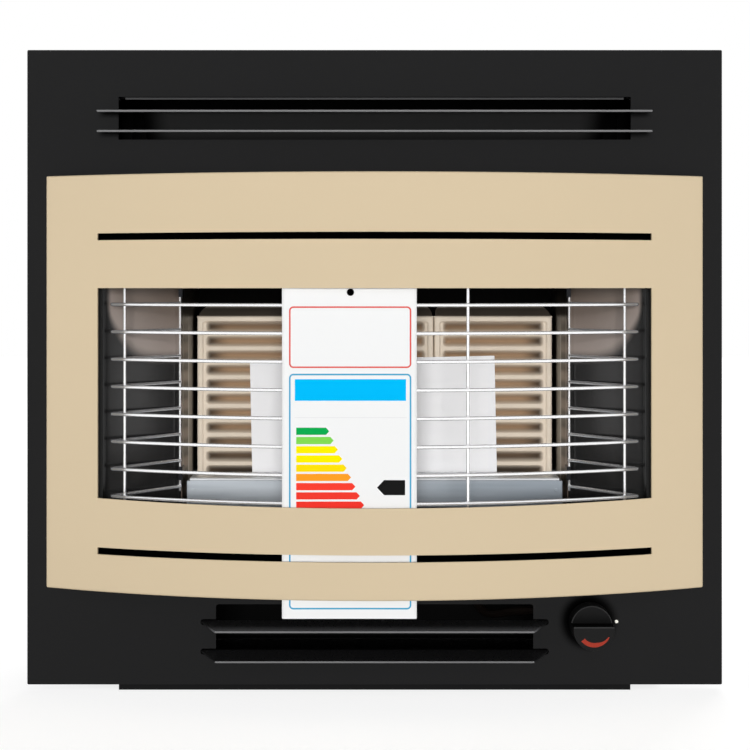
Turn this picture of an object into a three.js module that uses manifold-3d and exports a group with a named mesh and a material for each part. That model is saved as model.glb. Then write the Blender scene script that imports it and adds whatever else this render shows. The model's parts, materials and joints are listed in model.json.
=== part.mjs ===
// A radiant gas fire for a wall or a cabinet: a steel case behind a flat surround plate, with a bowed
// front panel, a wire guard, three ceramic radiants over a burner, and one control knob.
//
// Units are millimetres and +Z is up. Inside the group called fire, y = 0 is the front face of the
// surround plate, y grows towards the back, and z = 0 is the surface that the case stands on.
// The outer group moves all of it so that the origin is the middle of the footprint.

import * as THREE from 'three';
import * as BufferGeometryUtils from 'three/addons/utils/BufferGeometryUtils.js';
import Module from 'manifold-3d';

const wasm = await Module();
wasm.setup();

// Clearances that several pieces share

const seat = 0.3;
const overrun = 3;

// Surround plate

const plateWidth = 600;
const plateHeight = 548;
const plateFloorGap = 5;
const plateSheet = 1.5;
const plateReturn = 14;
const plateCorner = 1.2;

// Case behind the plate

const caseWidth = 500;
const caseDepth = 168;
const caseSheet = 1.2;
const caseTop = 532;
const caseFlange = 14;
const plinthWidth = 442.4;
const wallFlangeReach = 36;

// Warm air outlet over the panel

const outletWidth = 442.4;
const outletLow = 475.6;
const outletHeight = 36.9;
const outletBladeOverhang = 14.1;
const outletBladeRise = 6.4;
const outletBladePitch = 17;
const deflectorInset = 5.7;
const deflectorHem = 2.4;
const deflectorRun = 74;
const deflectorDrop = 62;
const deflectorFoot = 18;

// Louvre blades

const bladeReach = 27;
const bladeSheet = 1.8;
const bladeTilt = 5.5;
const bladeCorner = 1;
const bladeFlare = 0.8;

// Air intake under the panel

const intakeWidth = 274;
const intakeLow = 33.4;
const intakeHeight = 40.9;
const intakeCorner = 2.5;
const intakeBladeOverhang = 12.8;
const intakeBladeInset = 1;
const intakeBladeTail = 3;
const intakeBladeRise = 25.4;
const intakeSlotHeight = 5.2;
const intakeSlotEase = 0.6;
const intakeSlotCorner = 2.55;

// Bowed front panel

const panelWidth = 562;
const panelLow = 91.2;
const panelHeight = 351.9;
const panelStandOff = 12;
const panelBow = 57;
const panelSheet = 1.5;
const panelLip = 2.6;
const panelSideReturn = 10;
const windowWidth = 468;
const windowLow = 170.2;
const windowHeight = 177.2;
const windowBow = 3.2;
const slotHeight = 5.9;
const slotInset = 49.5;
const slotInsetLow = 31.6;
const panelArcSteps = 28;

// Rails in the panel and the hooks on the plate that carry them

const railWall = 1.5;
const railReach = 23;
const railLow = 112;
const railHeight = 314;
const railSetBack = 3.1;
const railLeg = 7;
const hookWall = 1.5;
const hookWidth = 12;
const hookFoot = 20;
const hookFinger = 9.5;
const hookLow = 140;
const hookPitch = 230;
const hookEase = 1.2;
const panelTravel = 10;

// Wire guard

const guardWire = 3;
const guardUprightWire = 2.6;
const guardBackWire = 2.2;
const guardHalfWidth = 226.8;
const guardBow = 49.5;
const guardSetBack = 9.5;
const guardLow = 168.9;
const guardPitch = 23.5;
const guardWires = 9;
const guardBackReach = 5.8;
const guardBackDepth = 55.6;
const guardTail = 4.5;
const guardWeldShare = 0.85;
const guardInnerUpright = 77.5;
const guardOuterUpright = 214;
const guardCornerRadius = 6;
const guardWireSides = 6;
const guardArcSteps = 12;
const clipWall = 0.8;
const clipHeight = 12;
const clipLeg = 16;
const clipNose = 3.6;

// Firebox

const apertureWidth = 470;
const apertureLow = 158;
const apertureHeight = 204;
const fireboxSheet = 1;
const fireboxFloor = 140;
const fireboxCeiling = 363;
const reflectorFront = 234;
const reflectorFlange = 12;
const reflectorLeg = 14;
const cheekFold = 88;
const cheekFoldReach = 2;
const cheekFlat = 12;
const cheekGap = 3.2;
const canopyFlange = 12;

// Radiants

const radiantCount = 3;
const radiantSpan = 332.6;
const radiantGap = 0.8;
const radiantHeight = 155;
const radiantDepth = 26;
const radiantFront = 110;
const radiantBorder = 7.5;
const radiantPitch = 13.5;
const radiantSlot = 8.4;
const radiantSlotDepth = 13;
const radiantSlotCount = 11;
const radiantStep = 4.5;
const radiantStepDepth = 2.4;
const baffleDepth = 39;
const baffleRise = 7;
const railFloor = 165.6;

// Burner

const burnerEndGap = 9.5;
const burnerDepth = 22;
const burnerHeight = 20;
const burnerWall = 1.5;
const burnerSetBack = 2;
const portCount = 24;
const portWidth = 2.2;
const portLength = 12;
const venturiPlace = 96;
const venturiBore = 6.8;
const venturiWall = 1.2;
const venturiLength = 54;
const venturiMouth = 11;
const injectorRadius = 6;
const injectorLength = 13;
const injectorTip = 2.2;
const injectorTipLength = 9;
const injectorEntry = 6;

// Burner shield

const shieldEndReach = 0.1;
const shieldFront = 58;
const shieldTop = 176;
const shieldRear = 102;
const shieldLip = 3;

// Gas valve and control

const knobPlace = 184.6;
const knobHeight = 59.5;
const knobRadius = 18.2;
const knobFaceRadius = 17.3;
const knobFront = 35;
const knobShelf = 21;
const knobStep = 2.9;
const knobBack = 5.5;
const knobHub = 7;
const knobTravel = 4;
const spindleRadius = 4;
const spindleFlat = 2.6;
const spindleEase = 0.3;
const plugRadius = 8;
const plugLength = 24;
const valveWidth = 34;
const valveHeight = 36;
const valveFront = 20.5;
const valveDepth = 44;
const bracketSheet = 1.6;
const bracketWidth = 46;
const bracketHeight = 82;
const bracketFoot = 44;
const bossRadius = 8;
const bossLength = 5;
const bossDepth = 26.4;
const springWire = 1;
const springRadius = 6;
const springTurns = 5;
const springCollar = 1.2;
const springCollarRadius = 7.2;
const dotRadius = 1.5;
const dotReach = 24.3;
const dotThickness = 0.6;

// Gas pipes

const pipeRadius = 4;
const pipeEase = 0.5;
const inletHeight = 36;
const inletReach = 22;
const couplingRadius = 9;
const couplingLength = 16;
const pipeSides = 8;
const pipeBend = 16;
const feedSag = 25.6;

// Pilot

const pilotInset = 30.5;
const pilotPitch = 12;
const pilotShelf = 150;
const pilotWidth = 40;
const pilotSheet = 1.2;
const pilotDepth = 100;
const pilotFoot = 8;
const pilotShelfDepth = 22;
const pilotBurnerRadius = 3.4;
const probeRadius = 2.2;
const probeHeight = 18;
const pilotBurnerHeight = 20;
const probeTail = 7;
const leadRadius = 1.1;
const leadSides = 6;
const leadDepth = 35.2;

// Flue

const flueRadius = 40;
const flueWall = 1.2;
const flueHeight = 318;
const flueReach = 36;
const flueCollar = 11;
const flueStart = 0.6;

// Swing tag and envelope

const tagLeft = -76.3;
const tagWidth = 111;
const tagLow = 75.1;
const tagCard = 0.5;
const tagEyeRadius = 3;
const tagEyePlace = -19.9;
const tagEyeHeight = 344;
const tagFold = 8;
const tagTab = 84;
const tagTabDrop = 9;
const envelopeWidth = 228.4;
const envelopeHeight = 113.4;
const envelopeCard = 1.2;
const envelopeLean = 1.2;
const envelopePlace = -1.1;

// Places that follow from the sizes above

const half = (value) => value / 2;
const radians = THREE.MathUtils.degToRad;
const plateTop = plateFloorGap + plateHeight;
const wallPlane = plateReturn;
const caseInside = half(caseWidth) - caseSheet - seat;
const caseFront = plateSheet + seat;
const caseLow = plateFloorGap + plateSheet + seat;
const plinthTop = caseLow - seat;
const outletBladeWidth = outletWidth + outletBladeOverhang * 2;
const deflectorWidth = outletWidth - deflectorInset * 2;
const intakeBladeBack = intakeWidth + intakeBladeOverhang * 2;
const intakeBladeFront = intakeWidth - intakeBladeInset * 2;
const panelRadius = (half(panelWidth) ** 2 + panelBow ** 2) / (panelBow * 2);
const panelCentre = panelRadius - panelStandOff - panelBow;
const guardFront = panelSheet + guardSetBack - panelStandOff - panelBow;
const guardRadius = (guardHalfWidth ** 2 + guardBow ** 2) / (guardBow * 2);
const guardCentre = guardFront + guardRadius;
const springCollarPlace = plateSheet + seat;
const frontReach = Math.max(panelStandOff + panelBow, knobFront);
const inletEnd = caseDepth + inletReach;
const flueEnd = caseDepth + flueReach;
const rearReach = Math.max(flueEnd, inletEnd);
const footprintMiddle = half(rearReach - frontReach);
const guardTop = guardLow + guardPitch * (guardWires - 1);
const cheekBackHalf = half(radiantSpan) + cheekGap;
const cheekFoldHalf = cheekBackHalf + cheekFoldReach;
const shieldHalfWidth = cheekBackHalf + shieldEndReach;
const guardBackHalf = cheekBackHalf + guardBackReach;
const burnerLength = (cheekBackHalf - burnerEndGap) * 2;
const pilotPlace = cheekBackHalf - pilotInset;
const cheekFront = guardBackDepth + guardBackWire * 2;
const cheekFrontHalf = guardBackHalf - half(guardBackWire) - seat;
const fireboxBack = radiantFront + baffleDepth + seat * 4;
const burnerMiddle = radiantFront + burnerSetBack + half(burnerDepth);
const burnerLow = fireboxFloor + seat;

// Finishes

const finish = (colour, roughness, metalness) => (
  new THREE.MeshStandardMaterial({ color: colour, roughness, metalness })
);
const satinBlack = finish(0x1b1b1c, 0.45, 0.2);
const champagne = finish(0xd3c2a0, 0.5, 0.1);
const chromeWire = finish(0xe6e6e8, 0.15, 1);
const polishedSteel = finish(0x6f6a68, 0.22, 1);
const zincSteel = finish(0x97a3b0, 0.4, 0.9);
const firedClay = finish(0xcdb598, 0.9, 0);
const blackPlastic = finish(0x161616, 0.5, 0);
const brassAlloy = finish(0xb59a52, 0.3, 1);
const copperPipe = finish(0xb8734c, 0.35, 1);
const whiteCard = finish(0xf4f4f4, 0.7, 0);
const greyCard = finish(0xdfdfe4, 0.7, 0);
const whitePaint = finish(0xf2efdf, 0.6, 0);

// Geometry helpers

// A shape from a list of corner points.
const shapeOf = (points) => new THREE.Shape(points.map(([across, up]) => new THREE.Vector2(across, up)));

// The outline of a bent sheet: the line itself, then the same line moved sideways by its thickness.
function strip(line, wall) {
  const directions = line.slice(1).map((point, i) => {
    const run = Math.hypot(point[0] - line[i][0], point[1] - line[i][1]);
    return [(point[0] - line[i][0]) / run, (point[1] - line[i][1]) / run];
  });
  const moved = line.map((point, i) => {
    const before = directions[Math.max(i - 1, 0)];
    const after = directions[Math.min(i, directions.length - 1)];
    const sum = [before[0] + after[0], before[1] + after[1]];
    const share = (wall * 2) / (sum[0] ** 2 + sum[1] ** 2);
    return [point[0] - sum[1] * share, point[1] + sum[0] * share];
  });
  return [...line, ...moved.reverse()];
}

// The mirror image of an outline about the middle plane.
const mirrored = (outline) => outline.map(([across, along]) => [-across, along]).reverse();

// Extrusions along the three directions. An outline is (x, y), (y, z) or (x, z) in turn.
function upright(outline, low, high) {
  const shape = outline instanceof THREE.Shape ? outline : shapeOf(outline);
  const geometry = new THREE.ExtrudeGeometry(shape, { depth: high - low, bevelEnabled: false });
  return geometry.translate(0, 0, low);
}

const alongX = new THREE.Matrix4().makeBasis(
  new THREE.Vector3(0, 1, 0),
  new THREE.Vector3(0, 0, 1),
  new THREE.Vector3(1, 0, 0),
);

function crosswise(outline, left, right) {
  const shape = outline instanceof THREE.Shape ? outline : shapeOf(outline);
  const geometry = new THREE.ExtrudeGeometry(shape, { depth: right - left, bevelEnabled: false });
  return geometry.applyMatrix4(alongX).translate(left, 0, 0);
}

const towardsFront = new THREE.Matrix4().makeBasis(
  new THREE.Vector3(1, 0, 0),
  new THREE.Vector3(0, 0, 1),
  new THREE.Vector3(0, -1, 0),
);

function facing(outline, front, back) {
  const shape = outline instanceof THREE.Shape ? outline : shapeOf(outline);
  const geometry = new THREE.ExtrudeGeometry(shape, {
    depth: back - front,
    bevelEnabled: false,
    curveSegments: 2,
  });
  return geometry.applyMatrix4(towardsFront).translate(0, back, 0);
}

// A box from its lowest and highest corners.
function block(low, high) {
  const size = high.map((value, i) => value - low[i]);
  const middle = high.map((value, i) => half(value + low[i]));
  return new THREE.BoxGeometry(...size).translate(...middle);
}

// A rectangle outline with round corners.
function roundedRectangle(left, low, width, height, radius) {
  const shape = new THREE.Shape();
  const right = left + width;
  const top = low + height;
  shape.moveTo(left + radius, low);
  shape.lineTo(right - radius, low);
  shape.absarc(right - radius, low + radius, radius, -Math.PI / 2, 0, false);
  shape.lineTo(right, top - radius);
  shape.absarc(right - radius, top - radius, radius, 0, Math.PI / 2, false);
  shape.lineTo(left + radius, top);
  shape.absarc(left + radius, top - radius, radius, Math.PI / 2, Math.PI, false);
  shape.lineTo(left, low + radius);
  shape.absarc(left + radius, low + radius, radius, Math.PI, Math.PI * 1.5, false);
  return shape;
}

// Round bars and turned shapes. CylinderGeometry and LatheGeometry turn about Y, which is the depth here.
const rodAlongY = (radius, front, back, sides = 24) => (
  new THREE.CylinderGeometry(radius, radius, back - front, sides).translate(0, half(front + back), 0)
);
const quarter = Math.PI / 2;
const rodUpright = (radius, low, high, sides = 24) => (
  new THREE.CylinderGeometry(radius, radius, high - low, sides)
    .rotateX(quarter)
    .translate(0, 0, half(low + high))
);
const rodAlongX = (radius, left, right, sides = 24) => (
  new THREE.CylinderGeometry(radius, radius, right - left, sides)
    .rotateZ(quarter)
    .translate(half(left + right), 0, 0)
);
const turned = (profile, sides = 24) => (
  new THREE.LatheGeometry(profile.map(([radius, along]) => new THREE.Vector2(radius, along)), sides)
);

// A route through given points, one step to a point, so that a bar's rings stand on those points.
class Route extends THREE.Curve {
  constructor(points) {
    super();
    this.points = points.map((point) => new THREE.Vector3(...point));
  }

  getPointAt(share) {
    return this.points[Math.round(share * (this.points.length - 1))].clone();
  }

  getTangentAt(share) {
    const here = Math.round(share * (this.points.length - 1));
    const before = this.points[Math.max(here - 1, 0)];
    const after = this.points[Math.min(here + 1, this.points.length - 1)];
    return after.clone().sub(before).normalize();
  }
}

function bar(points, radius, sides) {
  const ring = Array.from({ length: sides }, (_, i) => {
    const turn = (Math.PI * 2 * i) / sides;
    return [Math.cos(turn) * radius, Math.sin(turn) * radius];
  });
  return new THREE.ExtrudeGeometry(shapeOf(ring), {
    steps: points.length - 1,
    extrudePath: new Route(points),
    bevelEnabled: false,
  });
}

// A smooth pipe through a few chosen points. Its first and last stretches are straight.
function pipe(points, radius, sides, steps) {
  const bends = points.slice(1, -1).map((point) => new THREE.Vector3(...point));
  const curve = new THREE.CatmullRomCurve3(bends, false, 'centripetal');
  const middle = curve.getSpacedPoints(steps).map((point) => point.toArray());
  return bar([points[0], ...middle, points[points.length - 1]], radius, sides);
}

// Joining and cutting

function solid(geometry) {
  const bare = geometry.clone();
  for (const name of Object.keys(bare.attributes)) {
    if (name !== 'position') bare.deleteAttribute(name);
  }
  bare.clearGroups();
  const merged = BufferGeometryUtils.mergeVertices(bare, seat / 1000);
  return new wasm.Manifold(new wasm.Mesh({
    numProp: 3,
    vertProperties: new Float32Array(merged.attributes.position.array),
    triVerts: new Uint32Array(merged.index.array),
  }));
}

function surfaceOf(body) {
  const mesh = body.getMesh();
  const geometry = new THREE.BufferGeometry();
  geometry.setAttribute('position', new THREE.BufferAttribute(new Float32Array(mesh.vertProperties), 3));
  geometry.setIndex(new THREE.BufferAttribute(new Uint32Array(mesh.triVerts), 1));
  geometry.computeVertexNormals();
  return geometry;
}

const cut = (geometry, cutters) => (
  surfaceOf(cutters.reduce((body, cutter) => body.subtract(solid(cutter)), solid(geometry)))
);
const join = (geometries) => (
  surfaceOf(geometries.slice(1).reduce((body, piece) => body.add(solid(piece)), solid(geometries[0])))
);

const fire = new THREE.Group();

function place(name, geometry, material, x = 0, y = 0, z = 0) {
  const mesh = new THREE.Mesh(geometry, material);
  mesh.name = name;
  mesh.position.set(x, y, z);
  fire.add(mesh);
  return mesh;
}

const sides = [['left', -1], ['right', 1]];

// Surround plate: a flat sheet with its four edges folded back to the wall plane

function surroundPlate() {
  const left = -half(plateWidth);
  const outer = roundedRectangle(left, plateFloorGap, plateWidth, plateHeight, plateCorner);
  const hollow = block(
    [left + plateSheet, plateSheet, plateFloorGap + plateSheet],
    [-left - plateSheet, plateReturn + overrun, plateTop - plateSheet],
  );
  const through = [-overrun, plateSheet + overrun];
  const aperture = facing(
    roundedRectangle(-half(apertureWidth), apertureLow, apertureWidth, apertureHeight, plateCorner),
    ...through,
  );
  const outlet = block(
    [-half(outletWidth), through[0], outletLow],
    [half(outletWidth), through[1], outletLow + outletHeight],
  );
  const intake = facing(
    roundedRectangle(-half(intakeWidth), intakeLow, intakeWidth, intakeHeight, intakeCorner),
    ...through,
  );
  const bladeSlots = intakeBladeHeights().map((low) => {
    const width = intakeBladeBack + intakeSlotEase * 2;
    const bottom = low + half(bladeSheet - intakeSlotHeight);
    return facing(
      roundedRectangle(-half(width), bottom, width, intakeSlotHeight, intakeSlotCorner),
      ...through,
    );
  });
  const spindleHole = rodAlongY(spindleRadius + hookEase, ...through, 16).translate(knobPlace, 0, knobHeight);
  const plinthNotch = block(
    [-half(plinthWidth) - seat, plateSheet, plateFloorGap - overrun],
    [half(plinthWidth) + seat, plateReturn + overrun, plateFloorGap + plateSheet + overrun],
  );
  return cut(facing(outer, 0, plateReturn), [
    hollow,
    aperture,
    outlet,
    intake,
    ...bladeSlots,
    spindleHole,
    plinthNotch,
  ]);
}

// Height of the underside of each intake blade where it enters the plate.
function intakeBladeHeights() {
  return [intakeLow, intakeLow + intakeBladeRise].map((low) => low - half(bladeSheet));
}

place('surround_plate', surroundPlate(), satinBlack);

// Case: two sides, a back, a floor and a top, all folded sheet, standing on a shallow plinth tray

for (const [side, sign] of sides) {
  const outer = half(caseWidth);
  const line = [
    [outer - caseFlange, caseFront],
    [outer, caseFront],
    [outer, caseDepth],
  ];
  const outline = strip(line, caseSheet);
  place(
    `case_${side}_panel`,
    upright(sign > 0 ? outline : mirrored(outline), caseLow, caseTop),
    satinBlack,
  );

  // The angle that is screwed to the face of the wall, outside the case and hidden by the plate.
  const inner = outer + seat;
  const leaf = strip(
    [
      [inner, caseFront],
      [inner, wallPlane],
      [inner + wallFlangeReach, wallPlane],
    ],
    -caseSheet,
  );
  place(
    `wall_flange_${side}`,
    upright(sign > 0 ? leaf : mirrored(leaf), caseLow, caseTop),
    zincSteel,
  );
}

const trayFront = caseFront + caseSheet + seat;

place('plinth_tray', crosswise(strip([
  [caseFront, plinthTop],
  [caseFront, 0],
  [caseDepth, 0],
  [caseDepth, plinthTop],
], caseSheet), -half(plinthWidth), half(plinthWidth)), satinBlack);

place('case_floor', block(
  [-caseInside, trayFront, caseLow],
  [caseInside, caseDepth, caseLow + caseSheet],
), satinBlack);

place('case_roof', block(
  [-caseInside, trayFront, caseTop - caseSheet],
  [caseInside, caseDepth, caseTop],
), satinBlack);

place('case_back_panel', cut(
  block(
    [-caseInside, caseDepth - caseSheet, caseLow + caseSheet + seat],
    [caseInside, caseDepth, caseTop - caseSheet - seat],
  ),
  [
    rodAlongY(flueRadius + flueWall + seat, caseDepth - overrun, caseDepth + overrun, 40)
      .translate(0, 0, flueHeight),
    rodAlongY(pipeRadius + pipeEase, caseDepth - overrun, caseDepth + overrun)
      .translate(knobPlace, 0, inletHeight),
  ],
), satinBlack);

// Hood over the warm air outlet: its front edge shows just under the top of the opening

const hoodTop = outletLow + outletHeight - seat;
const hoodBack = caseDepth - caseSheet - seat;

place('outlet_hood', crosswise(strip([
  [caseFront, hoodTop - deflectorHem],
  [caseFront, hoodTop],
  [hoodBack - deflectorRun, hoodTop],
  [hoodBack, hoodTop - deflectorDrop],
  [hoodBack, hoodTop - deflectorDrop - deflectorFoot],
].reverse(), caseSheet), -half(deflectorWidth), half(deflectorWidth)), satinBlack);

// Louvre blades: each leans down to the front from its back edge

function bladeOutline(backWidth, frontWidth, tail) {
  const shape = new THREE.Shape();
  const front = half(frontWidth);
  const back = half(backWidth);
  shape.moveTo(-back, tail);
  shape.lineTo(-back, 0);
  shape.lineTo(-front, -bladeReach + bladeCorner);
  shape.lineTo(-front + bladeCorner, -bladeReach);
  shape.lineTo(front - bladeCorner, -bladeReach);
  shape.lineTo(front, -bladeReach + bladeCorner);
  shape.lineTo(back, 0);
  shape.lineTo(back, tail);
  return shape;
}

for (const [i, row] of ['lower', 'upper'].entries()) {
  const height = outletLow + outletBladeRise + outletBladePitch * i;
  const blade = new THREE.ExtrudeGeometry(
    shapeOf([
      [-half(outletBladeWidth), 0],
      [-half(outletBladeWidth) - bladeFlare, -bladeReach + bladeCorner * 2],
      [-half(outletBladeWidth) + bladeCorner, -bladeReach],
      [half(outletBladeWidth) - bladeCorner, -bladeReach],
      [half(outletBladeWidth) + bladeFlare, -bladeReach + bladeCorner * 2],
      [half(outletBladeWidth), 0],
    ]),
    { depth: bladeSheet, bevelEnabled: false },
  );
  place(`outlet_louvre_${row}`, blade, satinBlack, 0, -seat, height).rotation.x = radians(bladeTilt);
}

for (const [i, row] of ['lower', 'upper'].entries()) {
  const blade = new THREE.ExtrudeGeometry(
    bladeOutline(intakeBladeBack, intakeBladeFront, intakeBladeTail),
    { depth: bladeSheet, bevelEnabled: false },
  );
  const louvre = place(`intake_louvre_${row}`, blade, satinBlack, 0, 0, intakeBladeHeights()[i]);
  louvre.rotation.x = radians(bladeTilt);
}

// Bowed front panel: a curved face with a lip along the top and bottom and returns at the sides

// A plan outline: an arc on the same stations as the panel's face, closed at the back between two ends.
function bowedOutline(radius, endHalf, back) {
  const reach = Math.asin(half(panelWidth) / panelRadius);
  const stations = Array.from(
    { length: panelArcSteps - 1 },
    (_, i) => reach * (((i + 1) * 2) / panelArcSteps - 1),
  );
  const arc = stations.map((turn) => [Math.sin(turn) * radius, panelCentre - Math.cos(turn) * radius]);
  const endDepth = panelCentre - Math.sqrt(radius ** 2 - endHalf ** 2);
  return [[-endHalf, back], [-endHalf, endDepth], ...arc, [endHalf, endDepth], [endHalf, back]];
}

function frontPanel() {
  const top = panelLow + panelHeight;
  const back = panelSideReturn - panelStandOff;
  const inside = half(panelWidth) - panelSheet;
  const hollow = bowedOutline(panelRadius - panelSheet, inside, back + overrun);
  const mouth = bowedOutline(panelRadius - panelSheet - panelLip, inside, back + overrun);

  const reach = [-panelStandOff - panelBow - overrun, -panelStandOff + overrun];
  const steps = Array.from({ length: panelArcSteps + 1 }, (_, i) => (i * 2) / panelArcSteps - 1);
  const bottomEdge = steps.map((share) => [
    share * half(windowWidth),
    windowLow - windowBow * (1 - share ** 2),
  ]);
  const windowOutline = [
    ...bottomEdge,
    [half(windowWidth), windowLow + windowHeight],
    [-half(windowWidth), windowLow + windowHeight],
  ];
  const slots = [panelLow + slotInsetLow, top - slotInset - slotHeight].map((low) => block(
    [-half(windowWidth), reach[0], low],
    [half(windowWidth), reach[1], low + slotHeight],
  ));
  return cut(upright(bowedOutline(panelRadius, half(panelWidth), back), panelLow, top), [
    upright(hollow, panelLow + panelSheet, top - panelSheet),
    upright(mouth, panelLow - overrun, top + overrun),
    facing(windowOutline, ...reach),
    ...slots,
  ]);
}

place('front_panel', frontPanel(), champagne);

// Rails inside the panel, each with two windows, and the hooks on the plate that pass through them

const hookHeights = [['lower', hookLow], ['upper', hookLow + hookPitch]];
const railOutside = half(panelWidth) - panelSheet - seat;
const railInside = railOutside - railReach;
const hookMiddle = railOutside - railWall - half(hookWidth) - hookEase * 2;
const hookReach = railSetBack + railWall + hookEase + hookWall;

for (const [side, sign] of sides) {
  const outline = strip([
    [railInside, -railSetBack],
    [railOutside, -railSetBack],
    [railOutside, -railSetBack - railLeg],
  ], -railWall);
  const openings = hookHeights.map(([, low]) => block(
    [
      sign * hookMiddle - half(hookWidth) - hookEase,
      -railSetBack - railWall - overrun,
      low + hookWall + seat - panelTravel - hookWall * 3,
    ],
    [
      sign * hookMiddle + half(hookWidth) + hookEase,
      -railSetBack + overrun,
      low + hookWall + seat,
    ],
  ));
  place(
    `panel_rail_${side}`,
    cut(upright(sign > 0 ? outline : mirrored(outline), railLow, railLow + railHeight), openings),
    zincSteel,
  );

  for (const [row, low] of hookHeights) {
    const profile = strip([
      [-seat, low + hookFoot],
      [-seat, low],
      [-hookReach, low],
      [-hookReach, low + hookFinger],
    ], -hookWall);
    place(
      `panel_hook_${side}_${row}`,
      crosswise(profile, sign * hookMiddle - half(hookWidth), sign * hookMiddle + half(hookWidth)),
      zincSteel,
    );
  }
}

// Wire guard: wires bent to the panel's curve, with ends that run back into the firebox

// Depth of the guard's arc at a distance from the middle.
const guardDepth = (across) => guardCentre - Math.sqrt(guardRadius ** 2 - across ** 2);

function guardLine() {
  const reach = Math.asin(guardHalfWidth / guardRadius);
  const front = Array.from({ length: guardArcSteps + 1 }, (_, i) => {
    const across = Math.sin(reach * ((i * 2) / guardArcSteps - 1)) * guardRadius;
    return [across, guardDepth(across)];
  });
  const corner = front[front.length - 1];
  const back = [guardBackHalf, guardBackDepth];
  const run = Math.hypot(back[0] - corner[0], back[1] - corner[1]);
  const along = [(back[0] - corner[0]) / run, (back[1] - corner[1]) / run];
  const near = front[front.length - 2];
  const frontRun = Math.hypot(corner[0] - near[0], corner[1] - near[1]);
  const arrive = [(corner[0] - near[0]) / frontRun, (corner[1] - near[1]) / frontRun];
  const away = (way, share) => new THREE.Vector2(corner[0] + way[0] * share, corner[1] + way[1] * share);
  const bend = new THREE.QuadraticBezierCurve(
    away(arrive, -guardCornerRadius),
    new THREE.Vector2(...corner),
    away(along, guardCornerRadius),
  );
  const bendPoints = bend.getPoints(3).map((point) => [point.x, point.y]);
  const rightEnd = [...bendPoints, back];
  const leftEnd = rightEnd.map(([across, depth]) => [-across, depth]).reverse();
  return [...leftEnd, ...front.slice(1, -1), ...rightEnd];
}

function dressGuard() {
  const line = guardLine();
  const rows = Array.from({ length: guardWires }, (_, i) => guardLow + guardPitch * i);
  const wires = rows.map((height) => (
    bar(line.map(([x, y]) => [x, y, height]), half(guardWire), guardWireSides)
  ));
  const behind = half(guardWire + guardUprightWire) * guardWeldShare;
  const uprights = [guardInnerUpright, guardOuterUpright].flatMap((across) => sides.map(([, sign]) => {
    return rodUpright(half(guardUprightWire), guardLow - guardTail, guardTop + guardTail, guardWireSides)
      .translate(across * sign, guardDepth(across) + behind, 0);
  }));
  const backWires = sides.map(([, sign]) => (
    rodUpright(half(guardBackWire), guardLow - guardTail, guardTop + guardTail, 8)
      .translate(guardBackHalf * sign, guardBackDepth, 0)
  ));
  return join([...wires, ...uprights, ...backWires]);
}

place('dress_guard', dressGuard(), chromeWire);

// Firebox: reflectors, cheeks, floor, canopy and back, with clips that hold the guard's back wires

for (const [side, sign] of sides) {
  const leafInner = cheekFrontHalf + fireboxSheet + seat;
  const leafFront = cheekFront + seat;
  const reflector = strip([
    [reflectorFront + reflectorFlange, trayFront],
    [reflectorFront, trayFront],
    [leafInner, leafFront],
    [leafInner, leafFront + reflectorLeg],
  ], -fireboxSheet);
  place(
    `reflector_${side}`,
    upright(sign > 0 ? reflector : mirrored(reflector), fireboxFloor + seat, fireboxCeiling - seat),
    polishedSteel,
  );

  const cheek = strip([
    [cheekFrontHalf, cheekFront],
    [cheekFrontHalf, cheekFront + cheekFlat],
    [cheekFoldHalf, cheekFold],
    [cheekBackHalf, radiantFront - radiantStep],
    [cheekBackHalf, fireboxBack - seat],
  ], -fireboxSheet);
  place(
    `cheek_${side}`,
    upright(sign > 0 ? cheek : mirrored(cheek), fireboxFloor + seat, fireboxCeiling - seat),
    polishedSteel,
  );

  const clipInner = cheekFrontHalf - seat - clipWall;
  const clipFront = guardBackDepth - half(guardBackWire) - seat - clipWall;
  const clip = strip([
    [clipInner, clipFront + clipLeg],
    [clipInner, clipFront],
    [clipInner + clipNose, clipFront],
  ], clipWall);
  const clipHeights = [['lower', guardLow + half(guardPitch)], ['upper', guardTop - half(guardPitch)]];
  for (const [row, height] of clipHeights) {
    place(
      `guard_clip_${side}_${row}`,
      upright(sign > 0 ? clip : mirrored(clip), height - half(clipHeight), height + half(clipHeight)),
      polishedSteel,
    );
  }
}

place('firebox_floor', cut(
  block(
    [-caseInside, trayFront, fireboxFloor - fireboxSheet],
    [caseInside, fireboxBack + fireboxSheet, fireboxFloor],
  ),
  [
    rodUpright(venturiBore + venturiWall + seat, fireboxFloor - overrun, fireboxFloor + overrun)
      .translate(venturiPlace, burnerMiddle, 0),
    rodUpright(leadRadius + seat, fireboxFloor - overrun, fireboxFloor + overrun, 12)
      .translate(pilotPlace + pilotPitch, pilotDepth, 0),
  ],
), satinBlack);

place('firebox_canopy', crosswise(strip([
  [trayFront, fireboxCeiling + canopyFlange],
  [trayFront, fireboxCeiling],
  [fireboxBack + fireboxSheet, fireboxCeiling],
], fireboxSheet), -caseInside, caseInside), satinBlack);

place('firebox_back', cut(
  block(
    [-cheekBackHalf - fireboxSheet, fireboxBack, fireboxFloor + seat],
    [cheekBackHalf + fireboxSheet, fireboxBack + fireboxSheet, fireboxCeiling - seat],
  ),
  [
    rodAlongY(flueRadius + flueWall + seat, fireboxBack - overrun, fireboxBack + overrun, 40)
      .translate(0, 0, flueHeight),
  ],
), satinBlack);

// Radiants: three clay blocks side by side, each with a raised border round a stack of deep pockets

const radiantWidth = (radiantSpan - radiantGap * (radiantCount - 1)) / radiantCount;
const radiantLow = railFloor + seat;

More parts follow.
